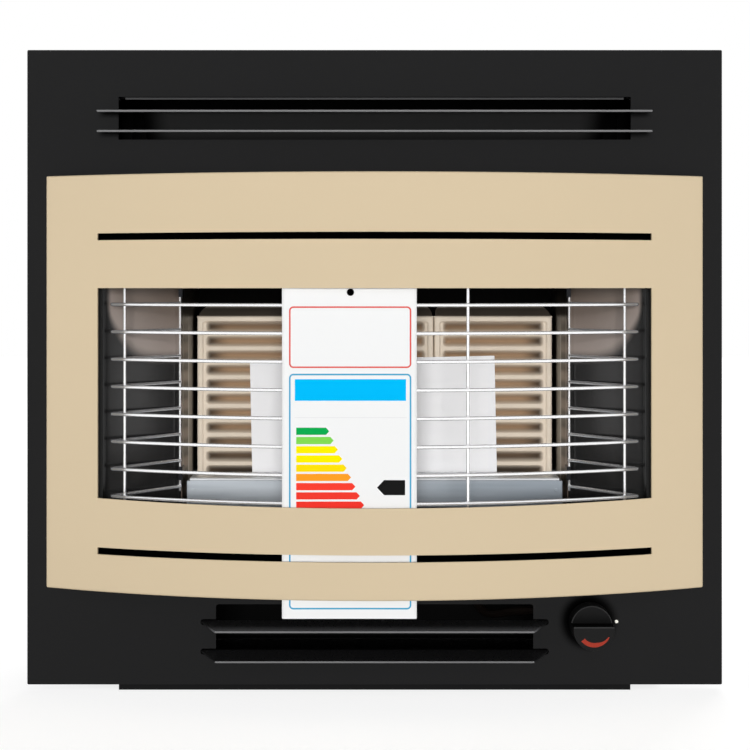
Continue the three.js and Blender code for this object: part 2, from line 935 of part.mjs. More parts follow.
function radiant() {
  const halfWidth = half(radiantWidth);
  const top = radiantLow + radiantHeight;
  const body = block([-halfWidth, 0, radiantLow], [halfWidth, radiantDepth, top]);
  const recess = block(
    [-halfWidth + radiantStep, -overrun, radiantLow + radiantStep],
    [halfWidth - radiantStep, radiantStepDepth, top - radiantStep],
  );
  const stackHeight = radiantPitch * (radiantSlotCount - 1) + radiantSlot;
  const stackLow = radiantLow + half(radiantHeight - stackHeight);
  const pockets = Array.from({ length: radiantSlotCount }, (_, i) => {
    const low = stackLow + radiantPitch * i;
    return facing(roundedRectangle(
      -halfWidth + radiantBorder,
      low,
      radiantWidth - radiantBorder * 2,
      radiantSlot,
      radiantSlot / 3,
    ), radiantStepDepth - overrun, radiantStepDepth + radiantSlotDepth);
  });
  return cut(body, [recess, ...pockets]);
}

const radiantGeometry = radiant();
for (const [i, name] of ['left', 'centre', 'right'].entries()) {
  const across = (i - half(radiantCount - 1)) * (radiantWidth + radiantGap);
  place(`radiant_${name}`, radiantGeometry, firedClay, across, radiantFront, 0);
}

const baffleLow = radiantLow + radiantHeight + seat;
place('radiant_baffle', crosswise(strip([
  [radiantFront + radiantStep, baffleLow],
  [radiantFront + baffleDepth, baffleLow + baffleRise],
], caseSheet), -half(radiantSpan) + radiantStep, half(radiantSpan) - radiantStep), satinBlack);

const radiantRailHalf = cheekBackHalf - seat;
place('radiant_rail', cut(
  crosswise(strip([
    [shieldRear + seat, railFloor - caseSheet],
    [radiantFront + radiantDepth + seat + caseSheet, railFloor - caseSheet],
    [radiantFront + radiantDepth + seat + caseSheet, railFloor + radiantSlot],
  ].reverse(), -caseSheet), -radiantRailHalf, radiantRailHalf),
  [-1, 0, 1].map((step) => {
    const middle = step * radiantWidth;
    const reach = half(radiantWidth) - radiantBorder * 2;
    return block(
      [middle - reach, radiantFront + radiantStep, railFloor - overrun],
      [middle + reach, radiantFront + radiantDepth - radiantStep, railFloor + overrun],
    );
  }),
), zincSteel);

// Burner: a hollow bar with slots along its top, fed by a venturi tube from an injector below

function burnerBar() {
  const top = burnerLow + burnerHeight;
  const front = burnerMiddle - half(burnerDepth);
  const back = burnerMiddle + half(burnerDepth);
  const outer = block([-half(burnerLength), front, burnerLow], [half(burnerLength), back, top]);
  const cavity = block(
    [-half(burnerLength) + burnerWall, front + burnerWall, burnerLow + burnerWall],
    [half(burnerLength) - burnerWall, back - burnerWall, top - burnerWall],
  );
  const pitch = burnerLength / (portCount + 1);
  const ports = Array.from({ length: portCount }, (_, i) => {
    const across = -half(burnerLength) + pitch * (i + 1);
    return block(
      [across - half(portWidth), burnerMiddle - half(portLength), top - burnerWall - overrun],
      [across + half(portWidth), burnerMiddle + half(portLength), top + overrun],
    );
  });
  const inlet = rodUpright(venturiBore, burnerLow - overrun, burnerLow + burnerWall + overrun)
    .translate(venturiPlace, burnerMiddle, 0);
  return cut(outer, [cavity, ...ports, inlet]);
}

place('burner_bar', burnerBar(), zincSteel);

// Lathe profiles are turned upright: the second value of each point is a height.
const uprightTurned = (profile, turns) => turned(profile, turns).rotateX(Math.PI / 2);

const venturiTop = burnerLow - seat;
const venturiLow = venturiTop - venturiLength;
place('venturi_tube', uprightTurned([
  [venturiMouth, venturiLow],
  [venturiBore + venturiWall, venturiLow + venturiMouth],
  [venturiBore + venturiWall, venturiTop],
  [venturiBore, venturiTop],
  [venturiBore, venturiLow + venturiMouth],
  [venturiMouth - venturiWall, venturiLow],
  [venturiMouth, venturiLow],
]), zincSteel, venturiPlace, burnerMiddle, 0);

const injectorLow = venturiLow + injectorEntry - injectorTipLength - injectorLength;
place('gas_injector', uprightTurned([
  [0, injectorLow],
  [injectorRadius, injectorLow],
  [injectorRadius, injectorLow + injectorLength],
  [injectorTip, injectorLow + injectorLength],
  [injectorTip, injectorLow + injectorLength + injectorTipLength],
  [0, injectorLow + injectorLength + injectorTipLength],
], 6), brassAlloy, venturiPlace, burnerMiddle, 0);

// Burner shield: a bright folded strip before the radiants, which stands on the firebox floor

place('burner_shield', crosswise(strip([
  [shieldFront + shieldLip * 3, fireboxFloor + seat],
  [shieldFront, fireboxFloor + seat],
  [shieldFront, shieldTop],
  [shieldRear, shieldTop],
].reverse(), fireboxSheet), -shieldHalfWidth, shieldHalfWidth), zincSteel);

// Gas valve: a body on a bracket, with a plug that the spindle turns and slides in

const bracketFront = valveFront - seat - bracketSheet;
place('valve_bracket', cut(
  crosswise(strip([
    [bracketFront, bracketHeight + caseLow + caseSheet],
    [bracketFront, caseLow + caseSheet + seat],
    [bracketFront + bracketFoot, caseLow + caseSheet + seat],
  ], bracketSheet), knobPlace - half(bracketWidth), knobPlace + half(bracketWidth)),
  [
    rodAlongY(plugRadius + seat, bracketFront - overrun, bracketFront + overrun)
      .translate(knobPlace, 0, knobHeight),
  ],
), zincSteel);

function valveBody() {
  const low = [knobPlace - half(valveWidth), valveFront, knobHeight - half(valveHeight)];
  const high = [knobPlace + half(valveWidth), valveFront + valveDepth, knobHeight + half(valveHeight)];
  const outletBoss = rodAlongX(bossRadius, low[0] - bossLength, low[0] + bossLength)
    .translate(0, valveFront + bossDepth, knobHeight);
  const inletBoss = rodAlongY(bossRadius, high[1] - bossLength, high[1] + bossLength)
    .translate(knobPlace, 0, knobHeight);
  const plugBore = rodAlongY(plugRadius + seat, valveFront - overrun, valveFront + plugLength + seat, 32)
    .translate(knobPlace, 0, knobHeight);
  return surfaceOf(
    solid(join([block(low, high), outletBoss, inletBoss])).subtract(solid(plugBore)),
  );
}

place('gas_valve_body', valveBody(), brassAlloy);

// A round bar along Y at the knob's axis with a flat along its top.
function flattened(radius, flat, front, back) {
  const trim = block(
    [-radius - overrun, front - overrun, flat],
    [radius + overrun, back + overrun, radius + overrun],
  );
  return cut(rodAlongY(radius, front, back), [trim]);
}

const socketDepth = knobTravel * 3;
place('valve_plug', cut(
  rodAlongY(plugRadius, valveFront, valveFront + plugLength),
  [
    flattened(
      spindleRadius + spindleEase,
      spindleFlat + spindleEase,
      valveFront - overrun,
      valveFront + socketDepth,
    ),
  ],
), brassAlloy, knobPlace, 0, knobHeight);

// Control knob: a round knob whose face steps back above the middle, fixed on a flatted spindle

const spindleBack = valveFront + socketDepth - knobTravel - spindleEase;
const spindleFront = -knobBack - knobHub;

function controlKnob() {
  const skirt = turned([
    [0, -knobFront],
    [knobFaceRadius, -knobFront],
    [knobRadius, -knobBack],
    [0, -knobBack],
  ], 32);
  const notch = block(
    [-knobRadius - overrun, -knobFront - overrun, knobStep],
    [knobRadius + overrun, -knobShelf, knobRadius + overrun],
  );
  const bore = flattened(
    spindleRadius + spindleEase,
    spindleFlat + spindleEase,
    spindleFront - spindleEase,
    -knobBack + overrun,
  );
  return cut(skirt, [notch, bore]);
}

place('control_knob', controlKnob(), blackPlastic, knobPlace, 0, knobHeight);

place('knob_spindle', join([
  flattened(spindleRadius, spindleFlat, spindleFront, spindleBack),
  rodAlongY(springCollarRadius, springCollarPlace, springCollarPlace + springCollar),
]), brassAlloy, knobPlace, 0, knobHeight);

// Return spring between the spindle's collar and the plug

function returnSpring() {
  const front = springCollarPlace + springCollar + half(springWire) + seat;
  const back = valveFront - half(springWire) - seat;
  const steps = springTurns * 8;
  const points = Array.from({ length: steps + 1 }, (_, i) => {
    const turn = (Math.PI * 2 * springTurns * i) / steps;
    return [
      Math.cos(turn) * springRadius,
      front + ((back - front) * i) / steps,
      Math.sin(turn) * springRadius,
    ];
  });
  return bar(points, half(springWire), 5);
}

place('return_spring', returnSpring(), polishedSteel, knobPlace, 0, knobHeight);

place('index_dot', rodAlongY(dotRadius, -seat - dotThickness, -seat, 16), whitePaint,
  knobPlace + dotReach, 0, knobHeight);

// Gas pipes: supply from the back of the case, and feed from the valve to the injector

const valveBack = valveFront + valveDepth + bossLength + seat;
place('supply_pipe', pipe([
  [knobPlace, valveBack, knobHeight],
  [knobPlace, valveBack + pipeBend, knobHeight],
  [knobPlace, half(valveBack + caseDepth), half(knobHeight + inletHeight)],
  [knobPlace, caseDepth - pipeBend, inletHeight],
  [knobPlace, caseDepth - half(pipeBend), inletHeight],
  [knobPlace, inletEnd, inletHeight],
], pipeRadius, pipeSides, 20), copperPipe);

place('inlet_coupling', cut(
  rodAlongY(couplingRadius, caseDepth + seat, caseDepth + seat + couplingLength, 6),
  [rodAlongY(pipeRadius + seat, caseDepth - overrun, caseDepth + couplingLength + overrun)],
), brassAlloy, knobPlace, 0, inletHeight);

const feedStart = knobPlace - half(valveWidth) - bossLength - seat;
const feedDepth = valveFront + bossDepth;
const feedLow = injectorLow - seat - feedSag;
place('feed_pipe', pipe([
  [feedStart, feedDepth, knobHeight],
  [feedStart - half(pipeBend), feedDepth, knobHeight],
  [
    half(feedStart + venturiPlace),
    half(feedDepth + burnerMiddle) - half(pipeBend),
    half(knobHeight + feedLow),
  ],
  [venturiPlace + half(pipeBend), burnerMiddle - pipeBend, feedLow],
  [venturiPlace, burnerMiddle, feedLow + half(pipeBend)],
  [venturiPlace, burnerMiddle, injectorLow - seat - half(pipeBend)],
  [venturiPlace, burnerMiddle, injectorLow - seat],
], pipeRadius, pipeSides, 26), copperPipe);

// Pilot: burner, thermocouple and electrode stand through a small shelf on the firebox floor

place('pilot_bracket', cut(
  crosswise(strip([
    [pilotDepth - pilotShelfDepth - pilotFoot, fireboxFloor + seat],
    [pilotDepth - half(pilotShelfDepth), fireboxFloor + seat],
    [pilotDepth - half(pilotShelfDepth), pilotShelf],
    [pilotDepth + half(pilotShelfDepth) - seat * 2, pilotShelf],
  ], pilotSheet), pilotPlace - half(pilotWidth), pilotPlace + half(pilotWidth)),
  [
    rodUpright(pilotBurnerRadius + seat, pilotShelf - overrun, pilotShelf + overrun)
      .translate(pilotPlace, pilotDepth, 0),
    rodUpright(probeRadius + seat, pilotShelf - overrun, pilotShelf + overrun)
      .translate(pilotPlace + pilotPitch, pilotDepth, 0),
    rodUpright(probeRadius + seat, pilotShelf - overrun, pilotShelf + overrun)
      .translate(pilotPlace - pilotPitch, pilotDepth, 0),
  ],
), zincSteel);

const probeLow = pilotShelf - probeTail;
place('pilot_burner', rodUpright(pilotBurnerRadius, probeLow, probeLow + pilotBurnerHeight, 16),
  brassAlloy, pilotPlace, pilotDepth, 0);
place('thermocouple', rodUpright(probeRadius, probeLow, probeLow + probeHeight, 16),
  polishedSteel, pilotPlace + pilotPitch, pilotDepth, 0);
place('spark_electrode', rodUpright(probeRadius, probeLow, probeLow + probeHeight, 16),
  whitePaint, pilotPlace - pilotPitch, pilotDepth, 0);

const leadStart = probeLow - seat;
const leadEnd = knobHeight + half(valveHeight) + seat;
const leadPlace = pilotPlace + pilotPitch;
const leadEndPlace = knobPlace + half(valveWidth) / 2;
const leadEndDepth = valveFront + leadDepth;
place('thermocouple_lead', pipe([
  [leadPlace, pilotDepth, leadStart],
  [leadPlace, pilotDepth, leadStart - pipeBend],
  [
    half(leadPlace + leadEndPlace),
    half(pilotDepth + leadEndDepth) + half(pipeBend),
    half(leadStart + leadEnd),
  ],
  [leadEndPlace, leadEndDepth, leadEnd + pipeBend],
  [leadEndPlace, leadEndDepth, leadEnd],
], leadRadius, leadSides, 14), copperPipe);

// Flue: a short spigot with a collar behind the firebox, which passes out through the case back

place('flue_spigot', turned([
  [flueRadius, fireboxBack - flueStart],
  [flueRadius + flueWall, fireboxBack - flueStart],
  [flueRadius + flueWall, fireboxBack + fireboxSheet + seat],
  [flueRadius + flueCollar, fireboxBack + fireboxSheet + seat],
  [flueRadius + flueCollar, fireboxBack + fireboxSheet + seat + flueWall],
  [flueRadius + flueWall, fireboxBack + fireboxSheet + seat + flueWall],
  [flueRadius + flueWall, flueEnd],
  [flueRadius, flueEnd],
  [flueRadius, fireboxBack - flueStart],
], 40), zincSteel, 0, 0, flueHeight);

// Swing tag: a card in front of the guard, folded over its top wire

function energyTag() {
  const tagBack = guardFront - half(guardWire) - seat;
  const foldTop = guardTop + half(guardWire) + seat;
  const card = block([tagLeft, tagBack - tagCard, tagLow], [tagLeft + tagWidth, tagBack, foldTop + tagCard]);
  const tabMiddle = tagLeft + half(tagWidth);
  const tab = crosswise(strip([
    [tagBack - tagCard, foldTop - tagFold],
    [tagBack - tagCard, foldTop + tagCard],
    [tagBack + tagFold, foldTop + tagCard],
    [tagBack + tagFold, foldTop - tagTabDrop],
  ], -tagCard), tabMiddle - half(tagTab), tabMiddle + half(tagTab));
  const eye = rodAlongY(tagEyeRadius, tagBack - overrun, tagBack + overrun, 20)
    .translate(tagEyePlace, 0, tagEyeHeight);
  return cut(join([card, tab]), [eye]);
}

place('swing_tag', energyTag(), whiteCard);

// Envelope: it leans by a degree and stands on the radiant rail, before the radiants

const envelopeMiddle = half(shieldRear + radiantFront);
const lean = radians(envelopeLean);
const envelopeLift = half(envelopeHeight) * Math.cos(lean) + half(envelopeWidth) * Math.sin(lean);
place(
  'envelope',
  block(
    [-half(envelopeWidth), -half(envelopeCard), -half(envelopeHeight)],
    [half(envelopeWidth), half(envelopeCard), half(envelopeHeight)],
  ),
  greyCard,
  envelopePlace,
  envelopeMiddle,
  railFloor + seat + envelopeLift,
).rotation.y = -lean;

fire.position.y = -footprintMiddle;

const gasFire = new THREE.Group();
gasFire.add(fire);

export default gasFire;
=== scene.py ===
# %% [markdown]
# # A radiant gas fire, dressed for its picture
#
# The fire is a steel case that stands in a wall. In front of it are a flat black surround plate, a
# bowed panel in a pale champagne enamel, a guard of bright wires, and behind those three blocks of
# ribbed clay that glow when the burner under them is lit. A frame of plain solids gives every size
# and place. This script puts fine surfaces, enamel, metal and clay round that frame.
#
# All lengths of the fire are in millimetres, in the fire's own frame: x to the right, y from the
# front face of the plate towards the back, z up from the hearth. One helper turns them into metres.

import json
import math
from contextlib import contextmanager
from functools import partialmethod

import bmesh
import bpy
import numpy as np
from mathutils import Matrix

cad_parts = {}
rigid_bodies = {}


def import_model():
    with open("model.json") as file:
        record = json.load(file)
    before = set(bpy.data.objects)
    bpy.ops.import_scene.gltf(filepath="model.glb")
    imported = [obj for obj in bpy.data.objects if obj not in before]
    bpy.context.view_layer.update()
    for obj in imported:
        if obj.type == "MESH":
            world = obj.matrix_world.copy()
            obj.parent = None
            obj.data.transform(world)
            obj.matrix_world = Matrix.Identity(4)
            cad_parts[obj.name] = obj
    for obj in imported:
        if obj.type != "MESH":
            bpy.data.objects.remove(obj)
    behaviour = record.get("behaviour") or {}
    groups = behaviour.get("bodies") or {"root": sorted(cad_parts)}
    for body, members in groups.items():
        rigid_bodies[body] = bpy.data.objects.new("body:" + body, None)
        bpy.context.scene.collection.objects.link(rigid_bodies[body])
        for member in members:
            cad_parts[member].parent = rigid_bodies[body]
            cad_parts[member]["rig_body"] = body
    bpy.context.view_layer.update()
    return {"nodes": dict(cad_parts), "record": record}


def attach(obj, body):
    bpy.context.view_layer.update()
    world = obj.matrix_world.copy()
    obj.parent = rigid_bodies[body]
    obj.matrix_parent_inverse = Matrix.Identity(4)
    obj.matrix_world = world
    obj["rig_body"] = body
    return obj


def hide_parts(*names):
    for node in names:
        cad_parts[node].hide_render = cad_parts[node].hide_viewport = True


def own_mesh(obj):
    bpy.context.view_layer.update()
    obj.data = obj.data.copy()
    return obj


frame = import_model()
nodes = frame["nodes"]

# %% [markdown]
# ## The camera
#
# The photograph was taken square on, from a little over a metre away, with the lens level with the
# top of the guard. A level camera with a vertical shift keeps the plate's edges upright, as a view
# camera does. The focal length follows from how fast the louvres and the knob grow towards it.

# %% Camera
MILLIMETRE = 0.001
FOOTPRINT_MIDDLE = 67.5
CAMERA_DISTANCE = 1300
CAMERA_HEIGHT = 349


def in_metres(x, y, z):
    """A place in the fire's own millimetres, as the scene has it."""
    return (x * MILLIMETRE, (y - FOOTPRINT_MIDDLE) * MILLIMETRE, z * MILLIMETRE)


def add_object(name, data):
    made = bpy.data.objects.new(name, data)
    bpy.context.collection.objects.link(made)
    return made


camera_data = bpy.data.cameras.new("studio_camera")
camera_data.sensor_width = 36
camera_data.lens = 72.25
camera_data.shift_x = 0.0005
camera_data.shift_y = -0.1184
camera = add_object("studio_camera", camera_data)
camera.location = in_metres(0, -CAMERA_DISTANCE, CAMERA_HEIGHT)
camera.rotation_euler = (math.pi / 2, 0, 0)
bpy.context.scene.camera = camera
bpy.context.scene.view_settings.view_transform = "Standard"
print("camera at", tuple(camera.location))

# %% [markdown]
# ## Numbers that a material works out
#
# A material is a small tree of nodes. The class below stands for a number that the tree works out
# at each point of a piece, such as a height or a mask. Arithmetic on it adds the nodes for it, so a
# mask can be written as a formula, like the product of one ramp across and another one upwards.


# %% Node helpers
def add_node(tree, kind, inputs=None, **settings):
    """Adds one node. A value in inputs is a number, a colour, or what feeds the input."""
    node = tree.nodes.new(kind)
    for name, value in settings.items():
        setattr(node, name, value)
    for name, value in (inputs or {}).items():
        value = getattr(value, "socket", value)
        if isinstance(value, bpy.types.NodeSocket):
            tree.links.new(value, node.inputs[name])
        else:
            node.inputs[name].default_value = value
    return node


class Number:
    """A number worked out by nodes at each point. A mask is one that runs from 0 to 1."""

    def __init__(self, tree, socket):
        self.tree, self.socket = tree, socket

    def made(self, operation, *others, clamp=False):
        """The number that one more node makes of this one and the others."""
        inputs = dict(enumerate([self, *others]))
        node = add_node(
            self.tree, "ShaderNodeMath", inputs, operation=operation, use_clamp=clamp
        )
        return Number(self.tree, node.outputs[0])

    __add__ = partialmethod(made, "ADD")
    __sub__ = partialmethod(made, "SUBTRACT")
    __rsub__ = partialmethod(made, "MULTIPLY_ADD", -1.0)
    __mul__ = partialmethod(made, "MULTIPLY")
    __truediv__ = partialmethod(made, "DIVIDE")
    __pow__ = partialmethod(made, "POWER")
    __or__ = partialmethod(made, "MAXIMUM")
    __lt__ = partialmethod(made, "LESS_THAN")
    __gt__ = partialmethod(made, "GREATER_THAN")
    __abs__ = partialmethod(made, "ABSOLUTE")

    def between(self, low, high):
        """1 from low to high, or else 0."""
        return self.made("COMPARE", (low + high) / 2, (high - low) / 2)

    def ramp(self, low, high, start=0.0, end=1.0, kind="SMOOTHSTEP"):
        """A smooth change from start at low to end at high."""
        return Number(self.tree, add_node(self.tree, "ShaderNodeMapRange", {
            "Value": self, "From Min": low, "From Max": high, "To Min": start, "To Max": end,
        }, interpolation_type=kind).outputs[0])


def distance_from(x, z, middle_x, middle_z):
    """Distance in the upright plane from one place: sqrt(dx^2 + dz^2)."""
    off_x, off_z = x - middle_x, z - middle_z
    return (off_x * off_x + off_z * off_z).made("SQRT")


def place_in_millimetres(material):
    """x, y and z of the place on a piece, in the fire's own millimetres."""
    tree = material.node_tree
    place = add_node(tree, "ShaderNodeTexCoord").outputs["Object"]
    scaled = add_node(
        tree, "ShaderNodeVectorMath", {0: place, "Scale": 1 / MILLIMETRE}, operation="SCALE"
    )
    x, y, z = add_node(tree, "ShaderNodeSeparateXYZ", {0: scaled.outputs[0]}).outputs
    return Number(tree, x), Number(tree, y) + FOOTPRINT_MIDDLE, Number(tree, z)


def colour(value):
    """What a colour input takes: a colour from three numbers, a grey from one, or a socket."""
    if isinstance(value, bpy.types.NodeSocket):
        return value
    return (value, value, value, 1.0) if isinstance(value, float) else (*value, 1.0)


def shader_of(material):
    """The inputs of a material's shader."""
    return material.node_tree.nodes["Principled BSDF"].inputs


def blend(share, first, second):
    """A mix of two colours: the second one where share is 1."""
    return add_node(share.tree, "ShaderNodeMix", {
        0: share, 6: colour(first), 7: colour(second),
    }, data_type="RGBA").outputs[2]


def paint(material, *layers):
    """Lays colours over what a material has so far. A layer is (colour, mask)."""
    base = shader_of(material)["Base Color"]
    for shade, mask in layers:
        material.node_tree.links.new(blend(mask, base.links[0].from_socket, shade), base)


# %% [markdown]
# ## One shared skin for every finish
#
# Enamel, plated steel, fired clay and card all vary a little: a slow drift in colour, a finer
# change in gloss, and a fine relief. The group below works those three out from the place on the
# piece, so each material only chooses how strong they are.

# %% Skin group
skin_group = bpy.data.node_groups.new("skin", "ShaderNodeTree")
for label, kind, default in (
    ("Colour", "Color", (0.5, 0.5, 0.5, 1.0)), ("Drift", "Float", 0.05),
    ("Drift scale", "Float", 6.0), ("Roughness", "Float", 0.4), ("Gloss change", "Float", 0.05),
    ("Grain scale", "Float", 400.0), ("Relief", "Float", 0.1),
    ("Stretch", "Vector", (1.0, 1.0, 1.0)),
):
    skin_group.interface.new_socket(
        label, in_out="INPUT", socket_type="NodeSocket" + kind
    ).default_value = default
for label, kind in (("Colour", "Color"), ("Roughness", "Float"), ("Normal", "Vector")):
    skin_group.interface.new_socket(label, in_out="OUTPUT", socket_type="NodeSocket" + kind)
skin_in = skin_group.nodes.new("NodeGroupInput").outputs
skin_out = skin_group.nodes.new("NodeGroupOutput").inputs


def skin_noise(place, scale, detail):
    """A noise about 0, as a number of the skin."""
    noise = add_node(skin_group, "ShaderNodeTexNoise", {
        "Vector": place, "Scale": skin_in[scale], "Detail": detail,
    })
    return Number(skin_group, noise.outputs["Fac"])


skin_place = add_node(skin_group, "ShaderNodeTexCoord").outputs["Object"]
stretched = add_node(
    skin_group, "ShaderNodeVectorMath", {0: skin_place, 1: skin_in["Stretch"]},
    operation="MULTIPLY",
).outputs[0]
grain = skin_noise(stretched, "Grain scale", 2.0)
drift = (skin_noise(skin_place, "Drift scale", 3.0) - 0.5) * skin_in["Drift"]
drifted = add_node(
    skin_group, "ShaderNodeVectorMath", {0: skin_in["Colour"], 1: drift * 2.0 + 1.0},
    operation="MULTIPLY",
)
gloss = ((grain - 0.5) * skin_in["Gloss change"]).made("ADD", skin_in["Roughness"], clamp=True)
relief = add_node(skin_group, "ShaderNodeBump", {
    "Strength": skin_in["Relief"], "Distance": 0.0004, "Height": grain,
})
skin_group.links.new(drifted.outputs[0], skin_out["Colour"])
skin_group.links.new(gloss.socket, skin_out["Roughness"])
skin_group.links.new(relief.outputs[0], skin_out["Normal"])


def finish(name, base, roughness, metallic=0.0, specular=0.5, **skin):
    """A material on the shared skin. The words of skin are inputs of the group."""
    material = bpy.data.materials.new(name)
    material.use_nodes = True
    shader = shader_of(material)
    shader["Metallic"].default_value = metallic
    shader["Specular IOR Level"].default_value = specular
    inputs = {"Colour": colour(base), "Roughness": roughness}
    inputs.update({key.replace("_", " ").capitalize(): value for key, value in skin.items()})
    group = add_node(material.node_tree, "ShaderNodeGroup", node_tree=skin_group)
    for key, value in inputs.items():
        group.inputs[key].default_value = value
    for made, fed in (("Colour", "Base Color"), ("Roughness", "Roughness"), ("Normal", "Normal")):
        material.node_tree.links.new(group.outputs[made], shader[fed])
    return material


print("skin nodes:", len(skin_group.nodes))

# %% [markdown]
# ## The finishes
#
# The plate has a black stove enamel with very little gloss, so it keeps one even grey. The bowed
# panel is a champagne enamel with a faint shimmer. The guard is chromium plate over steel that was
# only lightly polished, so its wires show some white of their own beside what they mirror. The
# shield is zinc plated, which is dull too and gives a blue cast. Most of the sheets in the firebox
# are near black and dull, and the case is black outside and painted blacker inside as painted
# shade.

# %% Finishes
stove_skin = dict(drift=0.06, grain_scale=900.0, relief=0.05, gloss_change=0.08)
rolled_skin = dict(
    drift=0.12, drift_scale=9.0, grain_scale=160.0, relief=0.03, stretch=(1.0, 1.0, 0.06)
)
satin_black = finish(
    "satin_black_enamel", (0.0095, 0.0095, 0.0097), 0.28, specular=0.025, **stove_skin
)
champagne = finish(
    "champagne_enamel", (0.617, 0.503, 0.342), 0.42, specular=0.12,
    drift=0.035, drift_scale=4.0, grain_scale=1300.0, relief=0.05, gloss_change=0.08,
)
chrome_wire = finish(
    "chrome_wire", (0.93, 0.93, 0.94), 0.15, 0.75,
    drift=0.03, grain_scale=300.0, relief=0.05, gloss_change=0.06,
)
polished_steel = finish(
    "polished_steel", (0.34, 0.325, 0.315), 0.16, 1.0, gloss_change=0.10, **rolled_skin
)
zinc_steel = finish(
    "zinc_plated_steel", (0.60, 0.645, 0.69), 0.34, 0.15, drift=0.10, drift_scale=14.0,
    grain_scale=220.0, relief=0.05, gloss_change=0.16, stretch=(0.08, 1.0, 1.0),
)
fired_clay = finish(
    "fired_clay", (0.83, 0.72, 0.59), 0.9, specular=0.2,
    drift=0.12, drift_scale=24.0, grain_scale=700.0, relief=0.45, gloss_change=0.1,
)
black_plastic = finish(
    "moulded_black_plastic", (0.0045, 0.0045, 0.0045), 0.30, specular=0.04,
    drift=0.06, grain_scale=1500.0, relief=0.10, gloss_change=0.08,
)
brass_alloy = finish(
    "machined_brass", (0.72, 0.56, 0.27), 0.28, 1.0,
    drift=0.08, drift_scale=30.0, grain_scale=500.0, relief=0.05, gloss_change=0.12,
)
# The copper pipe's colour is a near black brown.
copper_pipe = finish(
    "near_black_copper", (0.014, 0.010, 0.008), 0.5, 0.5,
    drift=0.16, drift_scale=18.0, grain_scale=260.0, relief=0.04, gloss_change=0.16,
)
white_ceramic = finish(
    "glazed_ceramic", (0.86, 0.84, 0.79), 0.22, drift=0.04, grain_scale=300.0, relief=0.03,
)
white_enamel = finish(
    "white_enamel", (0.90, 0.88, 0.80), 0.45, drift=0.03, grain_scale=800.0, relief=0.05,
)
paper_sleeve = finish(
    "paper_sleeve", (0.955, 0.95, 0.96), 0.5, specular=0.35,
    drift=0.03, drift_scale=14.0, grain_scale=120.0, relief=0.10, gloss_change=0.10,
)
print_card = finish(
    "coated_card", (0.815, 0.82, 0.82), 0.5, specular=0.07,
    drift=0.01, grain_scale=900.0, relief=0.03, gloss_change=0.05,
)
# Near black, dull steel for the sheets inside the firebox and for the flue spoiler.
firebox_black_steel = finish(
    "firebox_black_steel", (0.0022, 0.002, 0.002), 0.6, specular=0.04,
    drift=0.15, drift_scale=10.0, grain_scale=500.0, relief=0.08, gloss_change=0.1,
)
blued_spring = finish(
    "blued_spring_steel", (0.03, 0.03, 0.034), 0.35, 0.9, drift=0.08, grain_scale=300.0,
)
case_enamel = finish(
    "case_enamel", (0.004, 0.004, 0.004), 0.4, specular=0.04,
    drift=0.12, drift_scale=12.0, grain_scale=700.0, relief=0.08, gloss_change=0.1,
)
CASE_SIDE, CASE_BACK, CASE_TOP = 250.0, 168.0, 532.0
# Painted shade: the case is near black inside, and only its outer faces are lighter.
x, y, z = place_in_millimetres(case_enamel)
outside = (y > CASE_BACK - 0.6) | ((z > CASE_TOP - 0.6) | (abs(x) > CASE_SIDE - 0.6))
paint(case_enamel, ((0.032, 0.032, 0.033), outside))
print("finishes:", len(bpy.data.materials))

# %% [markdown]
# ## Dress the frame's own pieces
#
# A piece of the frame whose shape is already right only needs its material. The record names a
# finish for each piece. The firebox's own sheets are near black, and the spring clips blued.

# %% Frame pieces take their finish
finish_of_slot = {
    "satin_black": satin_black, "champagne": champagne, "chrome_wire": chrome_wire,
    "polished_steel": polished_steel, "zinc_steel": zinc_steel, "fired_clay": fired_clay,
    "black_plastic": black_plastic, "brass_alloy": brass_alloy, "copper_pipe": copper_pipe,
    "white_card": print_card, "grey_paper": paper_sleeve, "white_paint": white_enamel,
    "white_ceramic": white_ceramic,
}
finish_of_node = dict.fromkeys(("firebox_back", "firebox_canopy", "firebox_floor"), firebox_black_steel)
for part in ("back_panel", "left_panel", "right_panel", "roof"):
    finish_of_node["case_" + part] = case_enamel
slot_of_node = {row["node"]: row["material_slot"] for row in frame["record"]["subparts"]}
for node_name, node_object in nodes.items():
    wanted = finish_of_node.get(node_name, finish_of_slot[slot_of_node[node_name]])
    if node_name.startswith("guard_clip"):
        wanted = blued_spring
    node_object.data.materials.clear()
    node_object.data.materials.append(wanted)
print("dressed", len(nodes), "frame pieces")

# %% [markdown]
# ## Surfaces from arrays
#
# Every new piece below is a surface worked out with numpy and then handed to a mesh. The helper
# takes points in the fire's own millimetres and turns them into metres about the footprint. Edges
# sharper than a given angle stay crisp, and all others are shaded smooth.


# %% Mesh helpers
def grid_quads(rows, columns, wrap_columns=False, first=0):
    """Faces of a grid of points in row order: (i, j), (i, j+1), (i+1, j+1), (i+1, j)."""
    i, j = np.meshgrid(
        np.arange(rows - 1), np.arange(columns if wrap_columns else columns - 1), indexing="ij"
    )
    this, ahead = i * columns + j, i * columns + (j + 1) % columns
    quads = np.stack([this, ahead, ahead + columns, this + columns], axis=-1)
    return first + quads.reshape(-1, 4)


def rim_loop(rows, columns):
    """The points round the rim of a grid, one after the other."""
    index = np.arange(rows * columns).reshape(rows, columns)
    return np.concatenate([index[0, :-1], index[:-1, -1], index[-1, :0:-1], index[:0:-1, 0]])


def facing_pair(front, back):
    """Two grids of one size, joined along their rims, as (points, faces)."""
    rows, columns = front.shape[:2]
    loop, other = rim_loop(rows, columns), rows * columns
    ahead = np.roll(loop, -1)
    faces = np.concatenate([
        grid_quads(rows, columns), grid_quads(rows, columns, first=other)[:, ::-1],
        np.stack([loop, ahead, ahead + other, loop + other], axis=1),
    ])
    return np.concatenate([front.reshape(-1, 3), back.reshape(-1, 3)]), faces


